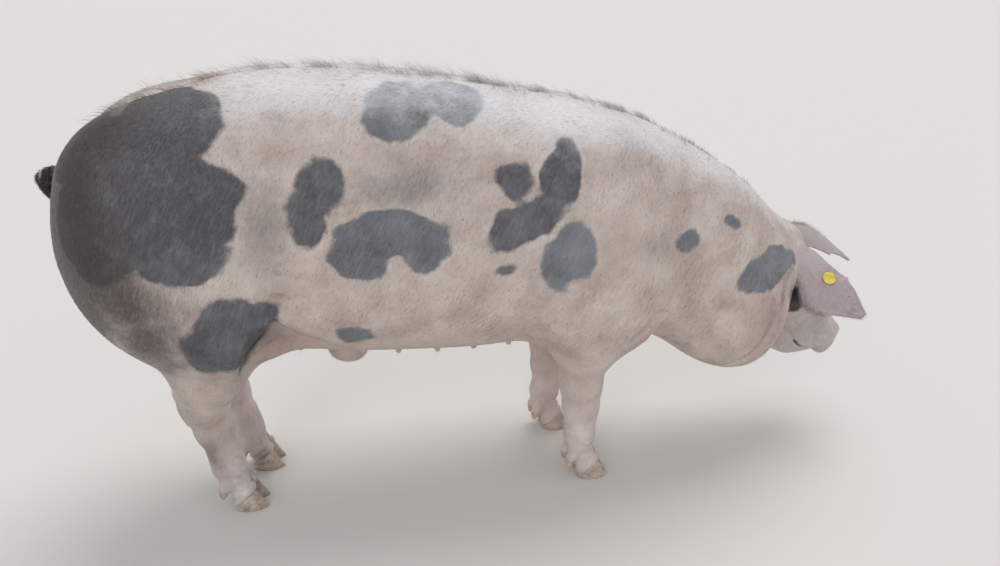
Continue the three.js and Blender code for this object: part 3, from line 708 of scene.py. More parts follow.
def footDetail(p, d):
    for name, foot in stance.items():
        base = footFrame(foot)
        near = np.linalg.norm(p[:, :2] - base[:2, 3], axis=1) < 130
        near &= p[:, 2] < 150
        if not near.any():
            continue
        local = p[near] - base[:3, 3]
        part = d[near]
        for out in (-1, 1):  # the soft roots of the dewclaws
            x, y, z = dewclaw["at"]
            root = bone((x + 12, out * (y - 4), z + 26), (x + 1, out * y, z + 5), 13, 11)(local)
            part = blended(part, root, 10)
        q = through(coronetBack[name], p[near])
        ahead, high = local[:, 0], local[:, 2]
        deep, wide = footForms["between"]
        part = part + deep * hump(q[:, 1], wide) * smoothed(44, 8, q[:, 2]) * smoothed(-30, 0, ahead)
        deep, wide = footForms["behind"]
        part = part + deep * hump(q[:, 1], wide) * smoothed(-8, -22, ahead) * smoothed(88, 60, high)
        proud, at, wide = footForms["band"]
        part = part - proud * hump(q[:, 2] - at, wide)
        deep, at, wide = footForms["groove"]
        part = part + deep * hump(q[:, 2] - at, wide)
        deep, at, wide = footForms["fold"]
        part = part + deep * hump(high - at + 0.3 * ahead, wide) * smoothed(-34, 10, ahead)
        part = carved(part, q[:, 2] + tucked, 6)
        d[near] = carved(part, high - tucked, 3)
    return d


def skinField(p):
    d = flesh(p)
    z = p[:, 2]
    depth = coatDepth["body"] + (coatDepth["foot"] - coatDepth["body"]) * smoothed(320, 180, z)
    q = through(headBack, p)
    wide = np.hypot(q[:, 1], q[:, 2])
    onHead = smoothed(*headZone["back"], q[:, 0]) * smoothed(*headZone["wide"], wide)
    d = d + depth + (coatDepth["face"] - depth) * onHead
    low = z < 380
    d[low] = blended(d[low], sheathField(p[low]), 16)
    for teat in teatForms:
        d[low] = blended(d[low], teat(p[low]), 7)
    d = bodyDetail(p, d)
    near = (q[:, 0] > headZone["near"][0]) & (wide < headZone["near"][1])
    d[near] = headDetail(p[near], d[near])
    feet = z < 150
    d[feet] = footDetail(p[feet], d[feet])
    return d


# One skin over the whole body, with a finer net on the head, the feet and the teats.
skinGrid = {"low": (-730, -290, -4.4), "high": (1080, 290, 960), "step": 7.2}
fineZones = {  # how far each round of splitting reaches
    "head": 262, "headWide": 135, "neck": 340, "neckWide": 220, "eye": 34, "disc": 60, "discBack": -22,
    "mouth": 9, "foot": 74, "leg": 300, "under": (260, 90, 350), "teat": 22,
}


def roundsWanted(p):  # how many times the net is split at each point
    q = through(headBack, p)
    wide = np.hypot(q[:, 1], q[:, 2])
    rounds = np.zeros(len(p))
    rounds[(q[:, 0] > -fineZones["neck"]) & (wide < fineZones["neckWide"])] = 1
    rounds[p[:, 2] < fineZones["leg"]] = 1
    for line, _, wideCrease in bodyCreases.values():
        away, _ = alongLine(toLeft(p), line)
        rounds[away < wideCrease * 2] = 1
    x, y, z = fineZones["under"]
    low = (p[:, 2] < z) & (np.abs(p[:, 1]) < y) & (np.abs(p[:, 0]) < x)
    rounds[low] = 1
    for x in teats["rows"]:
        for side in (-1, 1):
            rounds[low & (np.hypot(p[:, 0] - x, p[:, 1] - side * teats["aside"]) < fineZones["teat"])] = 2
    rounds[(q[:, 0] > -fineZones["head"]) & (wide < fineZones["headWide"])] = 2
    rounds[p[:, 2] < fineZones["foot"]] = 2
    s = through(snoutBack, p)
    rounds[(s[:, 0] > fineZones["discBack"]) & (np.hypot(s[:, 1], s[:, 2]) < fineZones["disc"])] = 3
    away, _ = alongLine(toLeft(s), mouth["line"])
    rounds[away < fineZones["mouth"]] = 3
    for side in (-1, 1):
        rounds[np.linalg.norm(through(eyeBack[side], p), axis=1) < fineZones["eye"]] = 3
    return rounds


def splitWhere(mesh, wanted):
    net = bmesh.new()
    net.from_mesh(mesh)
    net.verts.ensure_lookup_table()
    edges = [e for e in net.edges if wanted[e.verts[0].index] and wanted[e.verts[1].index]]
    bmesh.ops.subdivide_edges(net, edges=edges, cuts=1, use_grid_fill=True)
    net.to_mesh(mesh)
    net.free()


points, quads = netSurface(skinField, skinGrid["low"], skinGrid["high"], skinGrid["step"])
points = settled(points, skinField, 3)
skinMesh = meshOf("skin", points, quads)
links = edgesOf(skinMesh)
for _ in range(2):
    points = settled(relaxed(points, links, 0.6), skinField, 3, 2)
setPoints(skinMesh, points)
for level in range(3):
    splitWhere(skinMesh, roundsWanted(points) > level)
    points, links = pointsOf(skinMesh), edgesOf(skinMesh)
    fine = (roundsWanted(points) > level).astype(float)
    who = np.flatnonzero(fine)
    for _ in range(2):
        points = relaxed(points, links, 0.5, fine)
        points[who] = settled(points[who], skinField, 3 / 2**level, 2)
    setPoints(skinMesh, points)
print("skin net:", len(skinMesh.vertices), "points")


# The ears: shells round a middle sheet, which curls and tapers from the root to the tip.
ear = {
    "rows": [  # place, half width, the way its outer side faces, how tight it curls
        ((-278, 50, 18), 32, (-0.75, 0.3, 0.55), 48), ((-263, 77, 38), 33, (-0.74, 0.42, 0.5), 56),
        ((-224, 117, 46), 44, (-0.64, 0.66, 0.34), 90), ((-178, 146, 55), 60, (-0.56, 0.78, 0.2), 130),
        ((-150, 154, 75), 38, (-0.52, 0.8, 0.16), 150), ((-108, 164, 101), 8, (-0.5, 0.82, 0.14), 160),
    ],
    "thick": (12, 5), "across": 44, "along": 72, "wave": 2.0,
    "flop": {"roll": 54, "down": 27, "turn": 11, "move": (5, 19, -21)},  # the left ear lies over the brow
}


def splineAt(knots, s):  # the centripetal curve through the knots, evenly numbered
    knots = np.array(knots, dtype=float)
    ends = np.vstack([2 * knots[0] - knots[1], knots, 2 * knots[-1] - knots[-2]])
    part = min(s, 0.99999) * (len(knots) - 1)
    i = int(part)
    t = part - i
    a, b, c, d = ends[i], ends[i + 1], ends[i + 2], ends[i + 3]
    ta = max(np.linalg.norm(b - a) ** 0.5, 1e-4)
    tb = max(np.linalg.norm(c - b) ** 0.5, 1e-4)
    tc = max(np.linalg.norm(d - c) ** 0.5, 1e-4)
    m1 = ((b - a) / ta - (c - a) / (ta + tb) + (c - b) / tb) * tb
    m2 = ((c - b) / tb - (d - b) / (tb + tc) + (d - c) / tc) * tb
    return b + m1 * t + (3 * (c - b) - 2 * m1 - m2) * t**2 + (2 * (b - c) + m1 + m2) * t**3


earKnots = [row[0] for row in ear["rows"]]
earRoot = np.array(earKnots[0], dtype=float)
earChord = unit(np.array(earKnots[-1]) - earRoot)
flop = ear["flop"]
earPose = {
    -1: np.diag([1.0, -1.0, 1.0, 1.0]),
    1: moved(earRoot + flop["move"]) @ turned("X", flop["roll"]) @ turned("Y", flop["down"])
    @ turned("Z", flop["turn"]) @ moved(-earRoot),
}


def earSection(s):
    part = min(s, 0.9999) * (len(ear["rows"]) - 1)
    i = int(part)
    mix = part - i
    _, halfA, outA, curlA = ear["rows"][i]
    _, halfB, outB, curlB = ear["rows"][i + 1]
    middle = splineAt(earKnots, s)
    along = unit(unit(splineAt(earKnots, min(s + 0.01, 1)) - splineAt(earKnots, max(s - 0.01, 0))) + earChord)
    out = np.array(outA) + mix * (np.array(outB) - np.array(outA))
    out = unit(out - (out @ along) * along)
    over = np.cross(along, out)
    half, curl = halfA + mix * (halfB - halfA), curlA + mix * (curlB - curlA)

    def across(t):
        turn = t * half / curl
        point = middle + over * curl * math.sin(turn) - out * curl * (1 - math.cos(turn))
        return point, unit(out * math.cos(turn) + over * math.sin(turn))

    return across


def earShell(side):
    outer, inner, middles, normals, halves = [], [], [], [], []
    for i in range(ear["along"] + 1):
        s = i / ear["along"]
        section = earSection(s)
        for j in range(ear["across"] + 1):
            t = 2 * j / ear["across"] - 1
            point, normal = section(t)
            rim = min(1, (1 - abs(t)) / 0.16, (1.0 - s) / 0.05 + 0.2)
            thick = ear["thick"][0] + s * (ear["thick"][1] - ear["thick"][0])
            thick *= 0.35 + 0.65 * math.sqrt(max(rim, 0))
            sway = ear["wave"] * math.sin(7 * t + 3 * s) * s * abs(t) ** 2
            vein = 0.5 * math.sin(9 * math.pi * (t + 0.25 * math.sin(5 * s))) * s * (1 - abs(t))
            point = point - normal * (0.8 + abs(sway) - sway * 0.5)
            outer.append(point)
            inner.append(point - normal * (thick + vein))
            middles.append(point - normal * thick / 2)
            normals.append(normal)
            halves.append(thick / 2)
    wide, count = ear["across"] + 1, len(outer)
    faces = []
    for i in range(ear["along"]):
        for j in range(ear["across"]):
            a, b, c, d = i * wide + j, (i + 1) * wide + j, (i + 1) * wide + j + 1, i * wide + j + 1
            faces += [(a, d, c, b), (a + count, b + count, c + count, d + count)]
        for j, turnOver in ((0, False), (ear["across"], True)):
            a, b = i * wide + j, (i + 1) * wide + j
            faces.append((a, a + count, b + count, b) if turnOver else (a, b, b + count, a + count))
    for i, turnOver in ((0, False), (ear["along"], True)):
        for j in range(ear["across"]):
            a, b = i * wide + j, i * wide + j + 1
            faces.append((a, b, b + count, a + count) if turnOver else (a, a + count, b + count, b))
    place = headFrame @ earPose[side]
    if side < 0:
        faces = [face[::-1] for face in faces]
    return {
        "points": through(place, np.array(outer + inner)), "faces": faces,
        "middles": through(place, np.array(middles)),
        "normals": np.array(normals) @ place[:3, :3].T, "halves": np.array(halves), "place": place,
    }


ears = {side: earShell(side) for side in (-1, 1)}


def earField(p, shell):  # distance to the shell, from its nearest middle point
    out = np.empty(len(p))
    for start in range(0, len(p), 2000):
        part = p[start:start + 2000]
        away = ((part[:, None] - shell["middles"][None, ::3]) ** 2).sum(axis=2)
        best = away.argmin(axis=1) * 3
        out[start:start + 2000] = np.sqrt(away.min(axis=1)) - shell["halves"][best]
    return out


# The tail hangs to the left, thick at the root.
tail = {
    "joints": [
        (-606, 0, 690), (-638, -2, 698), (-659, 8, 692), (-664, 30, 668), (-654, 56, 636), (-645, 74, 598),
        (-640, 80, 558),
    ],
    "radii": [19, 17, 13, 11, 10, 8, 4], "around": 20, "rings": 70, "ripple": 0.03,
}


def tube(joints, radii, rings, around, ripple):
    spots = np.array([splineAt(joints, i / rings) for i in range(rings + 1)])
    turns = np.arange(around) * 2 * math.pi / around
    ahead = unit(np.gradient(spots, axis=0))
    side = unit(np.cross(ahead[0], [0, 0, 1]))
    rows = []
    for i in range(rings + 1):
        side = unit(side - (side @ ahead[i]) * ahead[i])
        up = np.cross(ahead[i], side)
        r = np.interp(i / rings * (len(joints) - 1), range(len(radii)), radii)
        r *= 1 + ripple * math.sin(i * 1.1)
        if i > rings - 5:
            r *= math.sqrt(max((rings + 0.4 - i) / 5, 0.02))
        rows.append([spots[i] + r * (side * math.cos(a) + up * math.sin(a)) for a in turns])
    points = np.array(rows).reshape(-1, 3)
    faces = []
    for i in range(rings):
        here, there = i * around, (i + 1) * around
        for j in range(around):
            k = (j + 1) % around
            faces.append((here + j, here + k, there + k, there + j))
    faces += [tuple(range(around))[::-1], tuple(rings * around + j for j in range(around))]
    return points, faces


tailField = chainField(list(zip(tail["joints"], tail["radii"])), soft=6)


# The ears and the tail are joined to the skin, and the joins are rounded.
def joinedTo(base, points, faces):
    other = objectOf("joining", meshOf("joining", points, faces))
    made = objectOf("joined", base)
    cut = made.modifiers.new("join", "BOOLEAN")
    cut.operation, cut.object, cut.solver = "UNION", other, "MANIFOLD"
    result = bpy.data.meshes.new_from_object(made.evaluated_get(bpy.context.evaluated_depsgraph_get()))
    for thing in (made, other):
        bpy.data.objects.remove(thing)
    return result


for shell in ears.values():
    skinMesh = joinedTo(skinMesh, shell["points"], shell["faces"])
shape = tube(tail["joints"], tail["radii"], tail["rings"], tail["around"], tail["ripple"])
skinMesh = joinedTo(skinMesh, *shape)
print("joined skin:", len(skinMesh.vertices), "points")

points, links = pointsOf(skinMesh), edgesOf(skinMesh)
fillet = {"ear": (16, 150), "tail": (18, 80)}  # how soft it is and how far out it is looked for
roots = [
    (lambda p, shell=shell: earField(p, shell), shell["middles"].mean(axis=0), fillet["ear"])
    for shell in ears.values()
]
roots.append((tailField, np.array(tail["joints"][0], dtype=float), fillet["tail"]))
for rootField, middle, (soft, wide) in roots:
    near = np.flatnonzero(np.linalg.norm(points - middle, axis=1) < wide)
    a, b = skinField(points[near]), rootField(points[near])
    zone = near[(np.abs(a) < soft) & (np.abs(b) < soft)]
    both = lambda p: blended(skinField(p), rootField(p), soft)
    points[zone] = settled(points[zone], both, 2, 5)
    loose = np.zeros(len(points))
    loose[zone] = 1
    for _ in range(3):
        points = relaxed(points, links, 0.5, loose)
    points[zone] = settled(points[zone], both, 2, 2)
setPoints(skinMesh, toScene(points))
skin = objectOf("skin", skinMesh)
smooth(skinMesh)
print("skin:", len(skinMesh.vertices), "points")


# The markings, worked out at each point of the skin and handed on to the hairs.
patches = {  # middle, half sizes, lean in degrees and how dark, from 0 to 1.2
    "backFront": ((-21, -147, 822), (69, 60), 49, 0.5), "backRear": ((73, -124, 832), (62, 50), 19, 0.35),
    "flankTop": ((-167, -202, 706), (48, 42), 81, 0.85),
    "flankLow": ((-197, -210, 649), (54, 36), -87, 0.8),
    "bellyMain": ((-55, -220, 612), (99, 44), -1, 0.5), "bellyLow": ((-114, -219, 574), (49, 40), -2, 0.5),
    "bellyFront": ((4, -224, 582), (40, 38), 0, 0.45), "ribSpot": ((172, -205, 700), (33, 31), 81, 0.8),
    "ribTall": ((252, -208, 705), (66, 37), 70, 1.0), "ribLong": ((184, -222, 626), (84, 37), 27, 0.8),
    "elbow": ((267, -234, 556), (67, 47), 75, 0.2), "dot": ((147, -225, 539), (21, 15), 15, 0.6),
    "underline": ((-129, -178, 406), (31, 34), 0, 0.25),
    "neckSpot": ((521, -181, 552), (37, 28), -15, 0.4), "napeDot": ((633, -139, 569), (25, 19), -7, 0.4),
    "earBack": ((742, -129, 456), (94, 42), 17, 0.3), "earTop": ((806, -84, 470), (42, 17), -8, 0.3),
    "rumpTop": ((-396, -150, 830), (94, 72), -80, 1.2), "rumpEdge": ((-470, -172, 770), (66, 70), 0, 1.1),
    "rumpMain": ((-416, -222, 684), (118, 100), 6, 1.1), "rumpLow": ((-402, -234, 596), (80, 45), -3, 0.8),
    "rumpRear": ((-524, -190, 650), (84, 100), 10, 1.0),
    "rumpBack": ((-530, -140, 762), (70, 76), -20, 1.0), "stifle": ((-352, -226, 444), (88, 64), 52, 0.75),
    "stifleFront": ((-290, -210, 478), (40, 26), 14, 0.9),
    "stifleEdge": ((-308, -212, 436), (54, 30), 48, 1.1),
    "farRump": ((-372, 214, 720), (122, 88), 12, 0.9), "farHam": ((-470, 206, 560), (70, 92), -6, 0.8),
    "farBack": ((-60, 168, 812), (84, 52), -14, 0.5), "farRib": ((96, 214, 690), (92, 46), 28, 0.9),
    "farBelly": ((-170, 214, 560), (76, 42), -8, 0.5), "farShoulder": ((330, 214, 640), (60, 82), 12, 0.6),
    "farDot": ((214, 224, 540), (24, 19), 0, 0.7), "farNeck": ((560, 160, 560), (50, 34), -30, 0.4),
    "farPoll": ((706, 120, 500), (60, 36), 30, 0.6), "farRumpFront": ((-300, 205, 690), (64, 44), 20, 0.8),
    "farRibLow": ((150, 222, 636), (66, 38), -40, 0.8),
    "farBackRear": ((-130, 160, 800), (54, 40), 10, 0.5),
    "farElbow": ((356, 212, 572), (46, 36), 30, 0.5), "farHamLow": ((-426, 220, 500), (58, 44), 30, 0.6),
}
softPlaces = {  # of each mark: the middle, half sizes and strength of its soft places
    "cloud": [  # a grey tinge on the withers and the shoulders; on the flank, the ham and the jowl it is painted shade
        ((439, -150, 740), (100, 90, 40), 0.34), ((441, -200, 556), (62, 60, 30), 0.35),
        ((420, 150, 740), (110, 90, 40), 0.3), ((-430, -200, 470), (90, 80, 100), 0.4),
        ((-268, -215, 640), (50, 80, 100), 0.5), ((-20, -205, 695), (100, 80, 46), 0.62),
        ((738, -130, 345), (70, 60, 80), 0.4),
    ],
    "shadeAndGrime": [  # painted shade on the rear, the hams and in the groin, where the hide lies in shadow, and grime on the hocks
        ((-604, -160, 630), (104, 150, 270), 1.0), ((-606, 150, 630), (100, 130, 250), 0.85),
        ((-540, -100, 800), (100, 100, 80), 0.95), ((-480, -180, 450), (100, 90, 120), 0.6),
        ((-515, -215, 525), (84, 90, 84), 0.75), ((-262, -190, 400), (54, 60, 40), 0.5),
        ((-450, -90, 250), (30, 60, 70), 0.35), ((-420, -90, 150), (22, 50, 60), 0.5),
    ],
    "bare": [  # thin clean skin on the shanks and the toes, and on the muzzle; on the far hind shank it is also a painted highlight, where light falls on it
        ((-390, 84, 200), (80, 60, 190), 0.95), ((-366, -78, 90), (44, 60, 80), 0.85),
        ((-380, -84, 210), (26, 60, 90), 0.5), ((330, 108, 170), (60, 60, 170), 0.55),
        ((350, -104, 110), (60, 60, 130), 0.65), ((950, 20, 240), (60, 60, 44), 0.5),
    ],
    "pink": [  # bare pink skin: groin, sheath, between the legs, brisket, jowl and under the tail
        ((-250, -150, 380), (74, 80, 56), 0.9), ((-250, 150, 380), (74, 80, 56), 0.9),
        ((-140, 0, 300), (90, 60, 50), 0.4), ((-330, 0, 330), (110, 80, 110), 0.8),
        ((470, -120, 340), (90, 130, 70), 0.8), ((240, -120, 350), (50, 110, 60), 0.7),
        ((742, -130, 335), (80, 90, 100), 0.85), ((330, 104, 180), (80, 70, 180), 0.4),
        ((-410, 84, 200), (90, 60, 200), 0.3), ((-640, 0, 520), (60, 50, 110), 0.6),
    ],
}
# The painted shade in the hollow behind the right ear, under its rear edge: places and half sizes in the
# head's frame, how far aside the neck's fold starts to hide it, and the crease that runs down from it, in the
# pig's own frame.
earHollow = {
    "pit": (earPit["at"], (34, 30, 26)), "socket": ((-212, -160, -30), (30, 44, 36)),
    "under": ((-160, -95, -20), (40, 26, 32)), "lobe": (192, 138),
    "crease": [(825, -73, 445), (803, -92, 435), (788, -106, 423), (786, -114, 400), (780, -123, 377)],
}
innerEar = {"at": (-200, 130, 55), "faces": (0.56, -0.76, -0.22)}  # the side that faces the cheek
patchEdge = [(13, (300, 700, 1100), (44, 52, 46)), (5, (200, 500, 900), (19, 17, 18))]  # how it wanders


def patchField(p, centre, sizes, lean):  # how far inside the patch, in millimetres
    n = unit(slopeOf(skinField, centre[None], skinField(centre[None]))[0])
    t = unit(np.array([1.0, 0, 0]) - n[0] * n)
    b = np.cross(n, t)
    c, k = math.cos(math.radians(lean)), math.sin(math.radians(lean))
    q = p - centre
    u, v, w = q @ t, q @ b, q @ n
    long, short = c * u + k * v, c * v - k * u
    inside = 1 - np.sqrt((long / sizes[0]) ** 2 + (short / sizes[1]) ** 2)
    return np.where(np.abs(w) < 0.9 * max(sizes) + 30, inside * math.sqrt(sizes[0] * sizes[1]), -60)


def patchesAt(p):  # how far inside the nearest patch, and how dark that patch is
    warped = p
    for far, shifts, sizes in patchEdge:
        warped = warped + far * noises(p, shifts, sizes)
    inside, dark = np.full(len(p), -60.0), np.zeros(len(p))
    for at, sizes, lean, depth in patches.values():
        k = patchField(warped, np.array(at, dtype=float), sizes, lean)
        dark = np.where(k > inside, depth, dark)
        inside = np.maximum(inside, k)
    return inside, dark


def spread(p, places):
    total = np.zeros(len(p))
    for at, size, strength in places:
        total = np.maximum(total, strength * dent(p, at, size))
    return total


def earMarks(p):  # how far on an ear, and how far on its inner side, from 0 to 1
    ear, inner = np.zeros(len(p)), np.zeros(len(p))
    for shell in ears.values():
        near = np.linalg.norm(p - shell["middles"].mean(axis=0), axis=1) < 150
        on = np.zeros(len(p))
        on[near] = smoothed(6, 1.5, earField(p[near], shell))
        local = through(np.linalg.inv(shell["place"]), p)
        facing = smoothed(0, 6, (local - np.array(innerEar["at"])) @ np.array(innerEar["faces"]))
        ear, inner = np.maximum(ear, on), np.maximum(inner, on * facing)
    return ear, inner


def paintedShade(p, q, s, ear):  # painted shade in hollows, creases, the groin, the mouth, the nostrils and round the lids, from 0 to 1
    lobe = smoothed(*earHollow["lobe"], -q[:, 1])  # the neck's fold stays pale where it overhangs
    pit = smoothed(1.3, 0.75, reached(q, *earHollow["pit"])) * (1 - ear * 0.6)
    socket = 0.8 * smoothed(1.35, 0.3, reached(q, *earHollow["socket"])) * (1 - ear)
    creased, _ = alongLine(p, earHollow["crease"])
    folded = sum(creaseOf(toLeft(p), *crease) for crease in bodyCreases.values())
    hollow, share = underFold(p)
    atThigh = smoothed(-246, -300, p[:, 0]) * np.where(p[:, 1] < 0, 1, 0.4)  # the painted shade in the groin is weaker on the left
    mouthAway, _ = alongLine(toLeft(s), mouth["line"])
    holes = reached(toLeft(s), (snout["front"] - 4, nostril["aside"], nostril["up"]), (9, 6.5, 8.5))
    eyes = [reached(through(eyeBack[side], p), (0, 0, 0), (15, 8, 16)) for side in (-1, 1)]
    return np.clip(np.max([
        0.95 * np.maximum(pit, socket) * lobe,
        0.42 * smoothed(26, 4, creased) * (1 - ear),
        0.8 * smoothed(1.3, 0.7, reached(q, *earHollow["under"])) * (1 - ear),
        np.clip(0.04 * folded, 0, 0.6),
        0.85 * smoothed(-3, 4, hollow) * smoothed(30, 6, hollow) * share * atThigh,
        0.62 * smoothed(-2, 2, hollow) * smoothed(18, 4, hollow) * share,
        0.8 * smoothed(4.5, 1.5, mouthAway), 0.9 * smoothed(1.15, 0.75, holes),
        0.7 * smoothed(1.35, 0.85, np.minimum(*eyes)),
    ], axis=0), 0, 1)


def marksOf(p, slopes):
    q, s = through(headBack, p), through(snoutBack, p)
    wide = np.hypot(q[:, 1], q[:, 2])
    ear, inner = earMarks(p)
    onTail = smoothed(3, 0.5, tailField(p)) * smoothed(-626, -640, p[:, 0])
    inside, dark = patchesAt(p)
    hollow, share = underFold(p)
    inside = inside - 60 * smoothed(1, 5, hollow) * share
    pink = np.maximum(spread(p, softPlaces["pink"]) * (1 - ear), 0.5 * inner)
    pink = np.maximum(pink, 0.5 * smoothed(-20, -4, s[:, 0]) * (wide < 150))
    # Painted highlight: skin that faces up on the back and neck is painted paler, as where light from above
    # falls on it; less so on the patches, and none on the rump.
    top = smoothed(0.3, 0.9, slopes[:, 2]) * smoothed(430, 600, p[:, 2]) * (1 - ear)
    top = top * smoothed(-380, -280, p[:, 0]) * (1 - 0.4 * smoothed(-5, 6, inside))
    face = smoothed(-190, -80, q[:, 0]) * (wide < 150) * (1 - ear)
    low = smoothed(230, 60, p[:, 2]) * (0.25 + 0.3 * smoothed(-80, -260, p[:, 0]))
    # Among these marks the pale top of the back is a painted highlight; the dark brown on the rear and hams,
    # the near-black in hollows and creases and part of the grey tinge are painted shade.
    return {
        "patch": np.clip(inside * (1 - onTail) - 40 * ear * smoothed(810, 850, p[:, 0]), -60, 60),
        "dark": dark, "cloud": spread(p, softPlaces["cloud"]) * (1 - 0.8 * ear), "topHighlight": top,
        "shadeAndGrime": spread(p, softPlaces["shadeAndGrime"]), "bare": spread(p, softPlaces["bare"]),
        "pink": np.clip(pink, 0, 1), "deep": paintedShade(p, q, s, ear), "black": onTail, "ear": ear,
        "dust": np.clip(np.maximum(0.6 * face, low * np.where(p[:, 1] > 0, 0.4, 1)), 0, 1),
        "head": smoothed(-330, -250, q[:, 0]) * (wide < 175),
    }


skinMesh.calc_loop_triangles()
tris = np.empty(len(skinMesh.loop_triangles) * 3, dtype=np.int64)
skinMesh.loop_triangles.foreach_get("vertices", tris)
tris = tris.reshape(-1, 3)
cross = np.cross(points[tris[:, 1]] - points[tris[:, 0]], points[tris[:, 2]] - points[tris[:, 0]])
areas = np.linalg.norm(cross, axis=1) / 2
normals = unit(np.stack([
    sum(np.bincount(tris[:, k], cross[:, axis], len(points)) for k in range(3)) for axis in range(3)
], axis=1))
marks = marksOf(points, normals)
handOn(skinMesh, marks)
skinMesh.materials.clear()
skinMesh.polygons.foreach_set("material_index", np.zeros(len(skinMesh.polygons), dtype=np.int32))
print("markings on the skin")


# The coat: thin solid hairs rooted in the skin, denser and shorter on the head and the feet.
coat = {  # how many hairs, their length and width, how far they stand off, and how ragged they lie
    "coatFlankRight": {"count": 45000, "long": (9, 15), "wide": 0.62, "lift": (2, 7), "ragged": 12},
    "coatFlankLeft": {"count": 45000, "long": (9, 15), "wide": 0.62, "lift": (2, 7), "ragged": 12},
    "coatNeck": {"count": 36000, "long": (9, 15), "wide": 0.62, "lift": (2, 8), "ragged": 14},
    "coatBelly": {"count": 14000, "long": (8, 14), "wide": 0.6, "lift": (2, 8), "ragged": 14},
    "coatForeLegs": {"count": 20000, "long": (6, 10), "wide": 0.55, "lift": (2, 7), "ragged": 11},
    "coatHindLegs": {"count": 24000, "long": (6, 11), "wide": 0.55, "lift": (2, 7), "ragged": 11},
    "coatHead": {"count": 42000, "long": (3.5, 6.5), "wide": 0.45, "lift": (3, 10), "ragged": 15},
    "coatEars": {"count": 22000, "long": (4, 7.5), "wide": 0.45, "lift": (4, 12), "ragged": 15},
    "coatSpine": {"count": 2600, "long": (20, 44), "wide": 0.8, "lift": (20, 50), "ragged": 16, "bent": True},
    "coatTail": {"count": 2000, "long": (8, 16), "wide": 0.8, "lift": (8, 20), "ragged": 12, "bent": True},
    "coatFringe": {
        "count": 1000, "long": (12, 24), "wide": 0.5, "lift": (14, 50), "ragged": 24, "bent": True,
    },
}
legs = {"coatForeLegs": (340, 130), "coatHindLegs": (-400, 150)}  # their middle and how far they reach
rootDepth = 0.5  # how far a hair's root is sunk in the skin
patchAcross = 0.003  # the width of one hair's patch on the unwrap


def bodyLie(p, n):  # which way the hair runs on the body: back along the spine, down the flanks and legs
    top = smoothed(0.55, 0.95, n[:, 2])[:, None]
    neck = smoothed(480, 700, p[:, 0])[:, None]
    leg = smoothed(380, 260, p[:, 2])[:, None]
    under = smoothed(-0.5, -0.85, n[:, 2])[:, None]
    way = (1 - neck) * np.array([-0.5, 0, -0.87]) + neck * np.array([-0.8, 0, -0.6])
    way = (1 - leg) * way + leg * np.array([-0.12, 0, -1])
    flat = np.array([-1.0, 0, -0.1])
    way = way + np.maximum(top, under) * (flat - way)
    return way + 0.35 * noises(p, (0, 400, 800), (130, 130, 130))


def lieOf(p, n, mark):
    way = bodyLie(p, n)
    onHead = (mark["head"] * (1 - mark["ear"]))[:, None]
    back = -headFrame[:3, 0]
    q = through(headBack, p)
    aside = np.stack([np.zeros(len(p)), np.sign(q[:, 1]), np.zeros(len(p))], axis=1) @ headFrame[:3, :3].T
    way = way + onHead * (back + 0.25 * aside - way)
    for side, shell in ears.items():
        tip = unit(earChord @ shell["place"][:3, :3].T)
        near = (mark["ear"] * (np.sign(q[:, 1]) == side))[:, None]
        way = way + near * (tip - way)
    tailWay = np.array([-0.1, 0.15, -1.0])
    return way + mark["black"][:, None] * (tailWay - way)


onDisc = smoothed(-12, -4, through(snoutBack, points)[:, 0]) * marks["head"]
bare = np.maximum(smoothed(0.35, 0.6, marks["deep"]), onDisc)
footDown = smoothed(34, 26, points[:, 2])
ridge = hump(points[:, 1], 44) * smoothed(0.2, 0.6, normals[:, 2])
ridge = ridge * smoothed(-560, -480, points[:, 0]) * smoothed(770, 640, points[:, 0]) * (1 - marks["ear"])
furred = (1 - bare) * (1 - footDown) * (1 - marks["black"])
isHead, isEar = marks["head"] > 0.5, marks["ear"] > 0.5
isLeg = (points[:, 2] < 340) & ~isHead & ((np.abs(points[:, 1]) > 28) | (points[:, 2] < 250))
isLeg &= np.any([np.abs(points[:, 0] - middle) < reach for middle, reach in legs.values()], axis=0)
isNeck = (points[:, 0] > 430) & ~isHead
isUnder = (normals[:, 2] < -0.55) & ~isNeck & ~isLeg & ~isHead
isSide = ~(isHead | isEar | isLeg | isNeck | isUnder)
earLocal = {side: through(np.linalg.inv(shell["place"]), points) for side, shell in ears.items()}
hollowEdge = np.zeros(len(points))
for side in (-1, 1):
    away, _ = alongLine(earLocal[side], [earSection(s)(-0.97)[0] for s in (0.15, 0.35, 0.55, 0.7)])
    hollowEdge = np.maximum(hollowEdge, smoothed(10, 4, away) * isEar)
density = {
    "coatFlankRight": isSide * (points[:, 1] < 0), "coatFlankLeft": isSide * (points[:, 1] >= 0),
    "coatNeck": isNeck, "coatBelly": isUnder, "coatForeLegs": isLeg & (points[:, 0] > 0),
    "coatHindLegs": isLeg & (points[:, 0] < 0), "coatHead": isHead & ~isEar, "coatEars": isEar,
}
density = {name: where * furred for name, where in density.items()}
density["coatSpine"] = ridge * smoothed(-0.1, 0.45, noise(points, 21))
density["coatTail"] = marks["black"] * (0.4 + smoothed(640, 560, points[:, 2]))
density["coatFringe"] = hollowEdge


def rooted(where, count):  # random places on the skin, as many as its weight asks for
    weight = areas * where[tris].mean(axis=1)
    pick = np.searchsorted(np.cumsum(weight) / weight.sum(), dice.random(count))
    a, b = np.sqrt(dice.random(count)), dice.random(count)
    share = np.stack([1 - a, a * (1 - b), a * b], axis=1)
    corner = tris[pick]
    mean = lambda values: (values[corner] * (share[:, :, None] if values.ndim == 2 else share)).sum(axis=1)
    found = {name: mean(values) for name, values in marks.items()}
    return mean(points), unit(mean(normals)), found


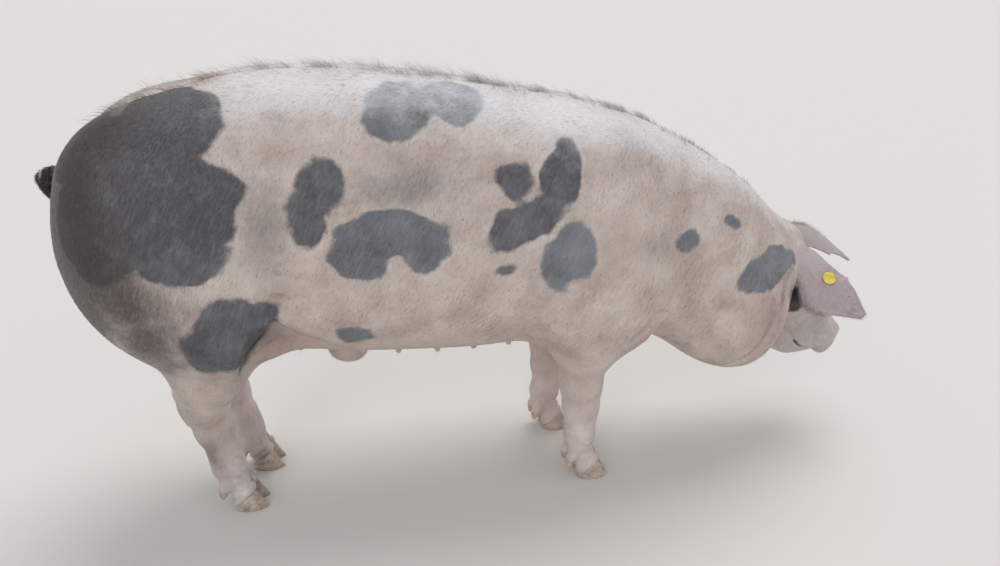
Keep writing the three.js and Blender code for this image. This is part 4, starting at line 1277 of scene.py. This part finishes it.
def unwrapped(name, p):  # a place on the piece's own unwrap, rolled off along the body or round the head
    if name in ("coatHead", "coatEars", "coatFringe"):
        q = through(headBack, p)
        u, turn = (q[:, 0] + 420) / 480, np.arctan2(q[:, 1], q[:, 2] + 40)
    elif name in legs:
        turn = np.arctan2(np.abs(p[:, 1]) - 96, p[:, 0] - legs[name][0])
        u = 0.5 + np.sign(p[:, 1]) * (0.02 + p[:, 2] / 900)
    elif name == "coatTail":
        u, turn = (p[:, 2] - 500) / 240, np.arctan2(p[:, 1] - 30, p[:, 0] + 655)
    else:
        u, turn = (p[:, 0] + 720) / 1720, np.arctan2(p[:, 1], p[:, 2] - 560)
    return np.stack([0.02 + 0.95 * np.clip(u, 0, 1), 0.02 + 0.95 * (turn / (2 * math.pi) + 0.5)], axis=1)


def hairs(name, look):
    p, n, found = rooted(density[name].astype(float), look["count"])
    way = lieOf(p, n, found)
    if name == "coatSpine":
        way = np.array([-1.0, 0, 0]) + 0.5 * np.stack([0 * p[:, 0], p[:, 1] / 30, 0 * p[:, 0]], axis=1)
    way = unit(way - (way * n).sum(axis=1)[:, None] * n)
    swing = np.radians(look["ragged"]) * (dice.normal(size=len(p)) * 0.8 + 1.3 * noise(p, 22))
    side = np.cross(n, way)
    way = way * np.cos(swing)[:, None] + side * np.sin(swing)[:, None]
    side = np.cross(n, way)
    lift = np.radians(dice.uniform(*look["lift"], len(p)))
    long = dice.uniform(*look["long"], len(p)) * (1 + 0.25 * noise(p + 50, 60))
    if name == "coatSpine":
        long *= 0.62 + 0.38 * smoothed(300, 60, p[:, 0])
        long *= 1 - 0.35 * smoothed(500, 700, p[:, 0])
        lift *= 1 + 0.25 * noise(p + 90, 16)
    foot = smoothed(150, 40, p[:, 2])
    long *= 1 - 0.35 * foot
    wide = look["wide"] * dice.uniform(0.75, 1.2, len(p)) / 2
    root = p - rootDepth * n
    ahead = way * np.cos(lift)[:, None] + n * np.sin(lift)[:, None]
    up = np.cross(ahead, side)
    ring = [side, 0.5 * (up - side), -0.5 * (up + side)]
    if look.get("bent"):
        fall = lift * 0.45
        second = way * np.cos(fall)[:, None] + n * np.sin(fall)[:, None]
        middle = root + ahead * (long * 0.5)[:, None]
        tip = middle + second * (long * 0.5)[:, None]
        spots = [root + wide[:, None] * k for k in ring]
        spots += [middle + 0.8 * wide[:, None] * k for k in ring] + [tip]
        pattern = [
            (0, 2, 1), (0, 1, 4), (0, 4, 3), (1, 2, 5), (1, 5, 4), (2, 0, 3), (2, 3, 5),
            (3, 4, 6), (4, 5, 6), (5, 3, 6),
        ]
    else:
        spots = [root + wide[:, None] * k for k in ring] + [root + ahead * long[:, None]]
        pattern = [(0, 2, 1), (0, 1, 3), (1, 2, 3), (2, 0, 3)]
    corners = len(spots)
    spots = np.stack(spots, axis=1).reshape(-1, 3)
    spots[:, 2] = np.maximum(spots[:, 2], 1.0)
    scene = toScene(spots)
    low, high = np.array(cadBox[0]) + 0.0004, np.array(cadBox[1]) - 0.0004
    scene = np.clip(scene, low, high)
    faces = (np.arange(len(p))[:, None, None] * corners + np.array(pattern)).reshape(-1, 3)
    mesh = bpy.data.meshes.new(name)
    mesh.vertices.add(len(scene))
    mesh.loops.add(len(faces) * 3)
    mesh.polygons.add(len(faces))
    mesh.vertices.foreach_set("co", scene.astype(np.float32).ravel())
    mesh.loops.foreach_set("vertex_index", faces.ravel().astype(np.int32))
    mesh.polygons.foreach_set("loop_start", np.arange(0, len(faces) * 3, 3, dtype=np.int32))
    mesh.update(calc_edges=True)
    found["shade"] = dice.random(len(p))
    handOn(mesh, {key: np.repeat(numbers, corners) for key, numbers in found.items()})
    turn = np.arange(corners) * 2 * math.pi / corners
    offset = 0.5 * patchAcross * np.stack([np.cos(turn), np.sin(turn)], axis=1)
    uv = (unwrapped(name, p)[:, None] + offset).reshape(-1, 2)
    mesh.uv_layers.new(name="OFBake").data.foreach_set("uv", uv[faces.ravel()].astype(np.float32).ravel())
    smooth(mesh)
    return objectOf(name, mesh)


coatPieces = [hairs(name, look) for name, look in coat.items()]
print("coat:", sum(len(piece.data.polygons) for piece in coatPieces), "triangles")


# The claws and dewclaws: raked horn with growth rings, flat underneath.
clawNet = 2.3  # the spacing of their nets


def clawField(toeFrame, name, inner):
    toeBack = np.linalg.inv(toeFrame)

    def field(p):
        x, y, z = through(toeBack, p).T
        raked = x + claw["rake"] * z
        ahead = np.clip(raked / claw["reach"], 0, 1.2)
        half = (claw["half"] - claw["narrow"] * z) * (1 - claw["point"] * ahead)
        half = half * np.where(y * inner > 0, 0.92, 1.0)  # flatter on the side of the cleft
        d = (np.hypot(raked / claw["reach"], y / half) - 1) * claw["half"]
        ring = through(coronetBack[name], p)[:, 2]
        d = d + 0.4 * np.sin(ring * 0.9 + 0.12 * raked) * smoothed(-3, -9, ring) + 0.5 * noise(p, 9)
        d = carved(d, -ring - 1.0, 3)
        return carved(d, z, 2.0)

    return field


def dewField(spur):
    back = np.linalg.inv(spur)

    def field(p):
        q = through(back, p) / np.array(dewclaw["size"])
        q[:, 0] *= 1 + 0.25 * np.clip(-q[:, 2], 0, 1)
        return (np.sqrt((q * q).sum(axis=1)) - 1) * 12 + 0.3 * np.sin(p[:, 2] * 1.3)

    return field


clawPieces = []
for name, foot in stance.items():
    base = footFrame(foot)
    for which, out in (("outer", foot["side"]), ("inner", -foot["side"])):
        toe = base @ turned("Z", out * claw["splay"]) @ moved((claw["at"], out * claw["apart"], 0))
        x, y, z = dewclaw["at"]
        spur = base @ moved((x, out * y, z)) @ turned("Y", dewclaw["lean"])
        for kind, field, centre, span in (
            ("claw", clawField(toe, name, -out), toe[:3, 3], claw["span"]),
            ("dewclaw", dewField(spur), spur[:3, 3], dewclaw["span"]),
        ):
            low, high = centre - span, centre + span
            low[2] = max(low[2], claw["lowest"])
            spots, faces = netSurface(field, low, high, clawNet)
            spots = settled(spots, field, clawNet / 2)
            spots[:, 2] = np.maximum(spots[:, 2], 0)
            node = f"{name}_{kind}_{which}"
            piece = objectOf(node + "Horn", meshOf(node, toScene(spots), faces))
            smooth(piece.data)
            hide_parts(node)
            clawPieces.append(piece)
print("claws:", len(clawPieces))


# The eyes: balls with a slightly bulging cornea, seated behind the lids.
eyeShape = {"rings": 28, "around": 40, "bulge": 0.05, "cornea": 0.62, "inset": 0.4}


def eyeball(side):
    rings, around = eyeShape["rings"], eyeShape["around"]
    spots = [(0, 0, 1)]
    for i in range(1, rings):
        a = math.pi * i / rings
        r = 1 + eyeShape["bulge"] * math.exp(-((a / eyeShape["cornea"]) ** 4))
        for b in np.arange(around) * 2 * math.pi / around:
            spots.append((math.sin(a) * math.cos(b) * r, math.sin(a) * math.sin(b) * r, math.cos(a) * r))
    spots[0] = (0, 0, 1 + eyeShape["bulge"])
    spots.append((0, 0, -1))
    last, end = len(spots) - 1, 1 + (rings - 2) * around
    faces = []
    for j in range(around):
        k = (j + 1) % around
        faces += [(0, 1 + j, 1 + k), (last, end + k, end + j)]
        for row in range(1, end, around):
            faces.append((row + j, row + around + j, row + around + k, row + k))
    local = np.array(spots)
    mesh = meshOf("eye", toScene(through(eyeFrame(side), local * (eye["radius"] - eyeShape["inset"]))), faces)
    handOn(mesh, {"slit": local[:, 0], "height": local[:, 1]})
    smooth(mesh)
    return mesh


eyePieces = []
for side, name in ((-1, "right"), (1, "left")):
    piece = objectOf(f"eye_{name}Ball", eyeball(side))
    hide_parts(f"eye_{name}")
    eyePieces.append(piece)
print("eyes:", len(eyePieces))


# The ear tag: a dished button, a stem through the ear and a backing disc.
tag = {
    "along": 0.5, "across": 0.38, "radius": 14, "thick": 3, "stem": 4, "proud": 1.6, "under": -13.0,
    "back": 13, "around": 56,
}


def lathe(profile, around):  # rows of radius and height, closed on the axis at both ends
    spots, faces = [(0, 0, profile[0][1])], []
    for r, z in profile[1:-1]:
        spots += [(r * math.cos(a), r * math.sin(a), z) for a in np.arange(around) * 2 * math.pi / around]
    spots.append((0, 0, profile[-1][1]))
    last, end = len(spots) - 1, 1 + (len(profile) - 3) * around
    for j in range(around):
        k = (j + 1) % around
        faces += [(0, 1 + k, 1 + j), (last, end + j, end + k)]
        for row in range(1, end, around):
            faces.append((row + j, row + k, row + around + k, row + around + j))
    return np.array(spots), faces


holePoint, holeOut = earSection(tag["along"])(tag["across"])
tagFrame = np.eye(4)
tagFrame[:3, :3] = np.array(Vector((0, 0, 1)).rotation_difference(Vector(holeOut * [1, -1, 1])).to_matrix())
tagFrame[:3, 3] = holePoint * [1, -1, 1]
under, low, high = tag["under"], tag["proud"], tag["proud"] + tag["thick"]
rim, stem, backing = tag["radius"], tag["stem"], tag["back"]
tagProfile = [
    (0, under - 3), (backing - 1, under - 3), (backing, under - 2), (backing, under - 0.9),
    (backing - 0.8, under), (stem + 1, under), (stem, under + 1), (stem, low - 0.8), (stem + 0.8, low),
    (rim - 0.9, low), (rim, low + 0.8), (rim, high - 0.8), (rim - 0.7, high), (rim - 2.4, high),
    (rim - 3.0, high - 0.7), (8.4, high - 0.9), (7.8, high - 0.3), (6.6, high - 0.3), (6.0, high - 0.9),
    (3.6, high - 0.8), (3.0, high + 0.2), (1.6, high + 0.3), (1.3, high - 1.4), (0, high - 1.5),
]
spots, faces = lathe(tagProfile, tag["around"])
tagPiece = objectOf("ear_tagButton", meshOf("ear_tag", toScene(through(headFrame @ tagFrame, spots)), faces))
smooth(tagPiece.data)
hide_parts("ear_tag")
print("ear tag")


# Floor, light and camera. The camera stands in the pig's own frame and looks down at its right side.
view = {"at": (-140.7, -1584.4, 1060), "down": 21.5, "turn": 11.6, "lens": 29.52, "sensor": 36, "far": 200}
down, turn = math.radians(view["down"]), math.radians(view["turn"])
look = Vector((math.sin(turn) * math.cos(down), math.cos(turn) * math.cos(down), -math.sin(down)))
right = Vector((math.cos(turn), -math.sin(turn), 0))
camera = objectOf("camera", bpy.data.cameras.new("camera"))
camera.data.lens, camera.data.sensor_width, camera.data.clip_end = view["lens"], view["sensor"], view["far"]
aimed = Matrix((right, right.cross(look), -look)).transposed().to_4x4()
camera.matrix_world = Matrix.Translation(Vector(toScene(view["at"]))) @ aimed
bpy.context.scene.camera = camera
bpy.context.scene.view_settings.view_transform = "Standard"


def linear(colour):  # an sRGB hex value as the linear colour that nodes take
    channels = [int(colour[i:i + 2], 16) / 255 for i in (1, 3, 5)]
    return [c / 12.92 if c <= 0.04045 else ((c + 0.055) / 1.055) ** 2.4 for c in channels] + [1.0]


def addNode(material, kind, settings, inputs):  # an input is a value or the socket that feeds it
    node = material.node_tree.nodes.new(kind)
    for key, value in settings.items():
        setattr(node, key, value)
    for key, value in inputs.items():
        if isinstance(value, bpy.types.NodeSocket):
            material.node_tree.links.new(value, node.inputs[key])
        else:
            node.inputs[key].default_value = value
    return node


def plainMaterial(name, colour, roughness):
    made = bpy.data.materials.new(name)
    made.use_nodes = True
    shader = made.node_tree.nodes["Principled BSDF"]
    shader.inputs["Base Color"].default_value = linear(colour)
    shader.inputs["Roughness"].default_value = roughness
    return made


# The floor is pale matt board: it takes a soft shadow and gives back a little light.
studio = {  # each lamp: the way to it, how wide it looks and its power
    "floor": "#dcd9d4", "light": "#eceef2", "strength": 0.66, "backdrop": "#d3d0cb",
    "lamps": {"overhead": ((0.25, 0.35, 1), 40, 1.25), "side": ((-0.4, -1, 0.55), 35, 0.75)},
}
floorMesh = meshOf("floor", [(-60, -60, 0), (60, -60, 0), (60, 60, 0), (-60, 60, 0)], [(0, 1, 2, 3)])
floor = objectOf("floor", floorMesh)
floorMesh.materials.append(plainMaterial("paleFloor", studio["floor"], 0.9))
world = bpy.data.worlds.new("studio")
bpy.context.scene.world = world
world.use_nodes = True
soft = world.node_tree.nodes["Background"]
soft.inputs["Color"].default_value = linear(studio["light"])
soft.inputs["Strength"].default_value = studio["strength"]
backdrop = addNode(world, "ShaderNodeBackground", {}, {"Color": linear(studio["backdrop"]), "Strength": 1.0})
rays = addNode(world, "ShaderNodeLightPath", {}, {}).outputs
seen = rays["Is Camera Ray"]
for kind in ("Is Glossy Ray", "Is Transmission Ray"):  # the backdrop shows in wet and glossy surfaces too
    seen = addNode(world, "ShaderNodeMath", {"operation": "MAXIMUM"}, {0: seen, 1: rays[kind]}).outputs[0]
both = addNode(world, "ShaderNodeMixShader", {}, {0: seen, 1: soft.outputs[0], 2: backdrop.outputs[0]})
world.node_tree.links.new(both.outputs[0], world.node_tree.nodes["World Output"].inputs["Surface"])
for name, (towards, wide, power) in studio["lamps"].items():
    lamp = bpy.data.lights.new(name, "SUN")
    lamp.angle, lamp.energy = math.radians(wide), power
    objectOf(name, lamp).rotation_euler = Vector(towards).to_track_quat("Z", "Y").to_euler()
print("floor, light and camera")

# Pig's hide: thin pink skin under short stiff hairs, dusty from the sty. It gives a dull
# tan-pink with a silky bloom, and grey-blue patches where the hair is black at its roots.
hide = {
    "bright": "#cfc1ba", "dull": "#b1a098", "blotch": 70, "roughness": 0.56, "sheen": 0.1, "sheenRough": 0.4,
    "patchLight": "#747b84", "patchDark": "#31353f", "pale": "#e4dcd5", "grit": "#4b4443",
    "lock": (4.5, 30),  # the width and length of a lock of hair, twice the real width so that it shows
    "lean": (26.6, -29.0),  # how far the locks lean from upright about Y, on the body and on the head
    "pore": 2.6, "wrinkle": 11, "bump": 0.0007, "patchUneven": 48, "gritSize": 7,
    "heldBack": {"black": 1, "deep": 1, "shadeAndGrime": 0.7, "patch": 0.55},  # how far each mark hides pale hairs
}
hideLayers = [  # mark, colour, size of its ragged edge, how ragged it is, where it starts and is full, most
    # The pale layer on the top of the back is a painted highlight; the dark brown layer on the rear and hams
    # (grime only on the hocks) and the near-black layer in hollows, creases, mouth and nostrils are painted
    # shade; the grey layer is partly painted shade, and the pale bare layer is partly a painted highlight on
    # the far hind shank.
    ("pink", "#bf9f99", 34, 0.35, 0.05, 0.95, 0.8), ("bare", "#efe1e2", 20, 0.4, 0.1, 1.0, 0.8),
    ("cloud", "#7e797b", 42, 0.25, 0.05, 0.75, 0.8), ("patch", None, 22, 10, -5, 6, 0.93),
    ("topHighlight", "#dfe2e6", 30, 0.5, 0.0, 1.0, 0.62), ("shadeAndGrime", "#3b3231", 46, 0.3, 0.0, 0.7, 0.9),
    ("ear", "#a6989e", 24, 0.3, 0.1, 0.9, 0.75), ("dust", "#a3a0a2", 13, 0.7, 0.1, 1.0, 0.8),
    ("deep", "#160f10", 6, 0.25, 0.15, 0.85, 0.97), ("black", "#141110", 6, 0.1, 0.3, 0.7, 1.0),
]


def hideMaterial(name, hairTint, onSkin):  # hairTint is how far the palest hair leaves the skin's colour
    made = bpy.data.materials.new(name)
    made.use_nodes = True
    shader = made.node_tree.nodes["Principled BSDF"]
    shader.inputs["Sheen Weight"].default_value = hide["sheen"]
    shader.inputs["Sheen Roughness"].default_value = hide["sheenRough"]
    where = addNode(made, "ShaderNodeTexCoord", {}, {}).outputs["Object"]
    blotch = addNode(made, "ShaderNodeTexNoise", {}, {
        "Vector": where, "Scale": 1000 / hide["blotch"], "Detail": 5,
    })
    mottle = addNode(made, "ShaderNodeMapRange", {}, {
        "Value": blotch.outputs["Fac"], "From Min": 0.32, "From Max": 0.68,
    })
    colour = addNode(made, "ShaderNodeMix", {"data_type": "RGBA"}, {
        0: mottle.outputs["Result"], 6: linear(hide["dull"]), 7: linear(hide["bright"]),
    }).outputs[2]
    dark = addNode(made, "ShaderNodeAttribute", {"attribute_name": "dark"}, {})
    uneven = addNode(made, "ShaderNodeTexNoise", {}, {
        "Vector": where, "Scale": 1000 / hide["patchUneven"], "Detail": 4,
    })
    depth = addNode(made, "ShaderNodeMath", {"operation": "MULTIPLY_ADD"}, {
        0: uneven.outputs["Fac"], 1: 1.4, 2: dark.outputs["Fac"],
    })
    depth = addNode(made, "ShaderNodeMapRange", {}, {
        "Value": depth.outputs[0], "From Min": 0.75, "From Max": 1.75,
    })
    patchColour = addNode(made, "ShaderNodeMix", {"data_type": "RGBA"}, {
        0: depth.outputs["Result"], 6: linear(hide["patchLight"]), 7: linear(hide["patchDark"]),
    }).outputs[2]
    for mark, paint, size, ragged, start, full, most in hideLayers:
        given = addNode(made, "ShaderNodeAttribute", {"attribute_name": mark}, {})
        edge = addNode(made, "ShaderNodeTexNoise", {}, {
            "Vector": where, "Scale": 1000 / size, "Detail": 5, "Roughness": 0.62,
        })
        pushed = addNode(made, "ShaderNodeMath", {"operation": "MULTIPLY_ADD"}, {
            0: edge.outputs["Fac"], 1: 2 * ragged, 2: given.outputs["Fac"],
        })
        cover = addNode(made, "ShaderNodeMapRange", {"interpolation_type": "SMOOTHSTEP"}, {
            "Value": pushed.outputs[0], "From Min": start + ragged, "From Max": full + ragged, "To Max": most,
        })
        colour = addNode(made, "ShaderNodeMix", {"data_type": "RGBA"}, {
            0: cover.outputs["Result"], 6: colour, 7: linear(paint) if paint else patchColour,
        }).outputs[2]
        if mark == "patch":
            covered = cover.outputs["Result"]
    kept = 0.0  # how far the pale hairs are held back, on dark hide
    for mark, share in hide["heldBack"].items():
        given = covered
        if mark != "patch":
            given = addNode(made, "ShaderNodeAttribute", {"attribute_name": mark}, {}).outputs["Fac"]
        kept = addNode(made, "ShaderNodeMath", {"operation": "MULTIPLY_ADD", "use_clamp": True}, {
            0: given, 1: share, 2: kept,
        }).outputs[0]
    if hairTint:
        shade = addNode(made, "ShaderNodeAttribute", {"attribute_name": "shade"}, {}).outputs["Fac"]
        shade = addNode(made, "ShaderNodeMapRange", {}, {
            "Value": shade, "From Min": 0.25, "From Max": 1.0, "To Max": hairTint,
        }).outputs["Result"]
    else:
        locks = []
        for lean in hide["lean"]:
            wide, long = hide["lock"]
            laid = addNode(made, "ShaderNodeMapping", {"vector_type": "TEXTURE"}, {
                "Vector": where, "Rotation": (0, math.radians(lean), 0), "Scale": (1, 1, long / wide),
            })
            locks.append(addNode(made, "ShaderNodeTexNoise", {}, {
                "Vector": laid.outputs["Vector"], "Scale": 1000 / wide, "Detail": 3,
            }).outputs["Fac"])
        onHead = addNode(made, "ShaderNodeAttribute", {"attribute_name": "head"}, {})
        lock = addNode(made, "ShaderNodeMix", {}, {
            0: onHead.outputs["Fac"], 2: locks[0], 3: locks[1],
        }).outputs[0]
        shade = addNode(made, "ShaderNodeMapRange", {}, {
            "Value": lock, "From Min": 0.45, "From Max": 0.75, "To Max": 0.16,
        }).outputs["Result"]
    shade = addNode(made, "ShaderNodeMix", {}, {0: kept, 2: shade, 3: 0.0}).outputs[0]
    colour = addNode(made, "ShaderNodeMix", {"data_type": "RGBA"}, {
        0: shade, 6: colour, 7: linear(hide["pale"]),
    }).outputs[2]
    grit = addNode(made, "ShaderNodeTexNoise", {}, {
        "Vector": where, "Scale": 1000 / hide["gritSize"], "Detail": 2,
    })
    grit = addNode(made, "ShaderNodeMapRange", {}, {
        "Value": grit.outputs["Fac"], "From Min": 0.7, "From Max": 0.78, "To Max": 0.5,
    })
    colour = addNode(made, "ShaderNodeMix", {"data_type": "RGBA"}, {
        0: grit.outputs["Result"], 6: colour, 7: linear(hide["grit"]),
    }).outputs[2]
    made.node_tree.links.new(colour, shader.inputs["Base Color"])
    worn = addNode(made, "ShaderNodeMapRange", {}, {
        "Value": blotch.outputs["Fac"], "To Min": hide["roughness"] - 0.08, "To Max": hide["roughness"] + 0.1,
    })
    made.node_tree.links.new(worn.outputs["Result"], shader.inputs["Roughness"])
    if onSkin:
        pore = addNode(made, "ShaderNodeTexNoise", {}, {
            "Vector": where, "Scale": 1000 / hide["pore"], "Detail": 2,
        })
        fold = addNode(made, "ShaderNodeTexVoronoi", {"feature": "SMOOTH_F1"}, {
            "Vector": where, "Scale": 1000 / hide["wrinkle"],
        })
        height = addNode(made, "ShaderNodeMath", {"operation": "MULTIPLY_ADD"}, {
            0: lock, 1: 1.2, 2: pore.outputs["Fac"],
        })
        height = addNode(made, "ShaderNodeMath", {"operation": "MULTIPLY_ADD"}, {
            0: fold.outputs["Distance"], 1: 0.5, 2: height.outputs[0],
        })
        bump = addNode(made, "ShaderNodeBump", {}, {
            "Height": height.outputs[0], "Distance": hide["bump"], "Strength": 0.8,
        })
        made.node_tree.links.new(bump.outputs["Normal"], shader.inputs["Normal"])
    return made


def paintedBy(name, colours, size, roughness, ring=0.0, coat=0.0):
    made = bpy.data.materials.new(name)
    made.use_nodes = True
    shader = made.node_tree.nodes["Principled BSDF"]
    where = addNode(made, "ShaderNodeTexCoord", {}, {}).outputs["Object"]
    cloud = addNode(made, "ShaderNodeTexNoise", {}, {
        "Vector": where, "Scale": 1000 / size, "Detail": 6, "Roughness": 0.65,
    })
    ramp = addNode(made, "ShaderNodeValToRGB", {}, {"Fac": cloud.outputs["Fac"]})
    stops = ramp.color_ramp.elements
    while len(stops) < len(colours):
        stops.new(0.5)
    for k, paint in enumerate(colours):
        stops[k].position = 0.34 + 0.32 * k / (len(colours) - 1)
        stops[k].color = linear(paint)
    made.node_tree.links.new(ramp.outputs["Color"], shader.inputs["Base Color"])
    rough = addNode(made, "ShaderNodeMapRange", {}, {
        "Value": cloud.outputs["Fac"], "To Min": roughness - 0.12, "To Max": roughness + 0.12,
    })
    made.node_tree.links.new(rough.outputs["Result"], shader.inputs["Roughness"])
    height = cloud.outputs["Fac"]
    if ring:
        lines = addNode(made, "ShaderNodeTexWave", {"bands_direction": "Z"}, {
            "Vector": where, "Scale": 1000 / ring / 20, "Distortion": 2.5, "Detail": 2, "Detail Scale": 1.5,
        })
        height = addNode(made, "ShaderNodeMath", {"operation": "MULTIPLY_ADD"}, {
            0: lines.outputs["Fac"], 1: 0.8, 2: height,
        }).outputs[0]
    bump = addNode(made, "ShaderNodeBump", {}, {"Height": height, "Distance": 0.0004, "Strength": 0.6})
    made.node_tree.links.new(bump.outputs["Normal"], shader.inputs["Normal"])
    shader.inputs["Coat Weight"].default_value = coat
    return made


# A living eye: a wet clear cornea over a dark brown iris with a flat oval pupil.
iris = {"brown": "#4a2f1c", "rim": "#1d120c", "white": "#b79a8c", "pupil": (0.30, 0.20), "radius": 0.78}


def eyeMaterial():
    made = bpy.data.materials.new("wetEye")
    made.use_nodes = True
    shader = made.node_tree.nodes["Principled BSDF"]
    shader.inputs["Roughness"].default_value = 0.06
    shader.inputs["Coat Weight"].default_value = 1.0
    shader.inputs["Coat Roughness"].default_value = 0.02
    slit = addNode(made, "ShaderNodeAttribute", {"attribute_name": "slit"}, {}).outputs["Fac"]
    height = addNode(made, "ShaderNodeAttribute", {"attribute_name": "height"}, {}).outputs["Fac"]
    across, up = iris["pupil"]
    flat = addNode(made, "ShaderNodeCombineXYZ", {}, {"X": slit, "Y": height})
    far = addNode(made, "ShaderNodeVectorMath", {"operation": "LENGTH"}, {0: flat.outputs["Vector"]})
    oval = addNode(made, "ShaderNodeVectorMath", {"operation": "DIVIDE"}, {
        0: flat.outputs["Vector"], 1: (across, up, 1),
    })
    oval = addNode(made, "ShaderNodeVectorMath", {"operation": "LENGTH"}, {0: oval.outputs["Vector"]})
    threads = addNode(made, "ShaderNodeTexNoise", {}, {
        "Vector": flat.outputs["Vector"], "Scale": 9, "Detail": 4,
    })
    brown = addNode(made, "ShaderNodeMix", {"data_type": "RGBA"}, {
        0: threads.outputs["Fac"], 6: linear(iris["rim"]), 7: linear(iris["brown"]),
    })
    edge = addNode(made, "ShaderNodeMapRange", {}, {
        "Value": far.outputs["Value"], "From Min": iris["radius"] - 0.04, "From Max": iris["radius"] + 0.06,
    })
    white = addNode(made, "ShaderNodeMix", {"data_type": "RGBA"}, {
        0: edge.outputs["Result"], 6: brown.outputs[2], 7: linear(iris["white"]),
    })
    hole = addNode(made, "ShaderNodeMapRange", {}, {
        "Value": oval.outputs["Value"], "From Min": 0.9, "From Max": 1.15,
    })
    colour = addNode(made, "ShaderNodeMix", {"data_type": "RGBA"}, {
        0: hole.outputs["Result"], 6: (0.002, 0.002, 0.002, 1), 7: white.outputs[2],
    })
    made.node_tree.links.new(colour.outputs[2], shader.inputs["Base Color"])
    return made


# The short hairs take the colour of the hide below them and some are paler. The bristles along
# the spine and round the ears are nearly white and catch the light.
skinMesh.materials.append(hideMaterial("pigHide", 0.0, True))
furMaterial = hideMaterial("shortHair", 0.38, False)
bristleMaterial = hideMaterial("whiteBristle", 0.95, False)
for piece in coatPieces:
    white = piece.name in ("coatSpine", "coatFringe")
    piece.data.materials.append(bristleMaterial if white else furMaterial)
# Claws are horn, worn by walking and never cleaned: grown in rings, dull, chalky over brown.
hornMaterial = paintedBy("wornHorn", ["#948478", "#b5a496", "#cdbdb0"], 16, 0.55, ring=4)
# The tag is cast yellow polyurethane, smooth and scuffed, with dust in its dish.
tagMaterial = paintedBy("yellowPolyurethane", ["#b8a54a", "#e0cb4e", "#ead95e"], 9, 0.42, coat=0.15)
for piece in clawPieces:
    piece.data.materials.append(hornMaterial)
for piece in eyePieces:
    piece.data.materials.append(eyeMaterial())
tagPiece.data.materials.append(tagMaterial)
print("materials")

fleshNodes = [
    "trunk", "neck", "head", "lower_jaw", "snout", "tail", "sheath", "ear_left", "ear_right",
    "fore_leg_left", "fore_leg_right", "hind_leg_left", "hind_leg_right",
]
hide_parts(*fleshNodes)
for piece in [skin, tagPiece] + clawPieces + eyePieces + coatPieces:
    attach(piece, "root")
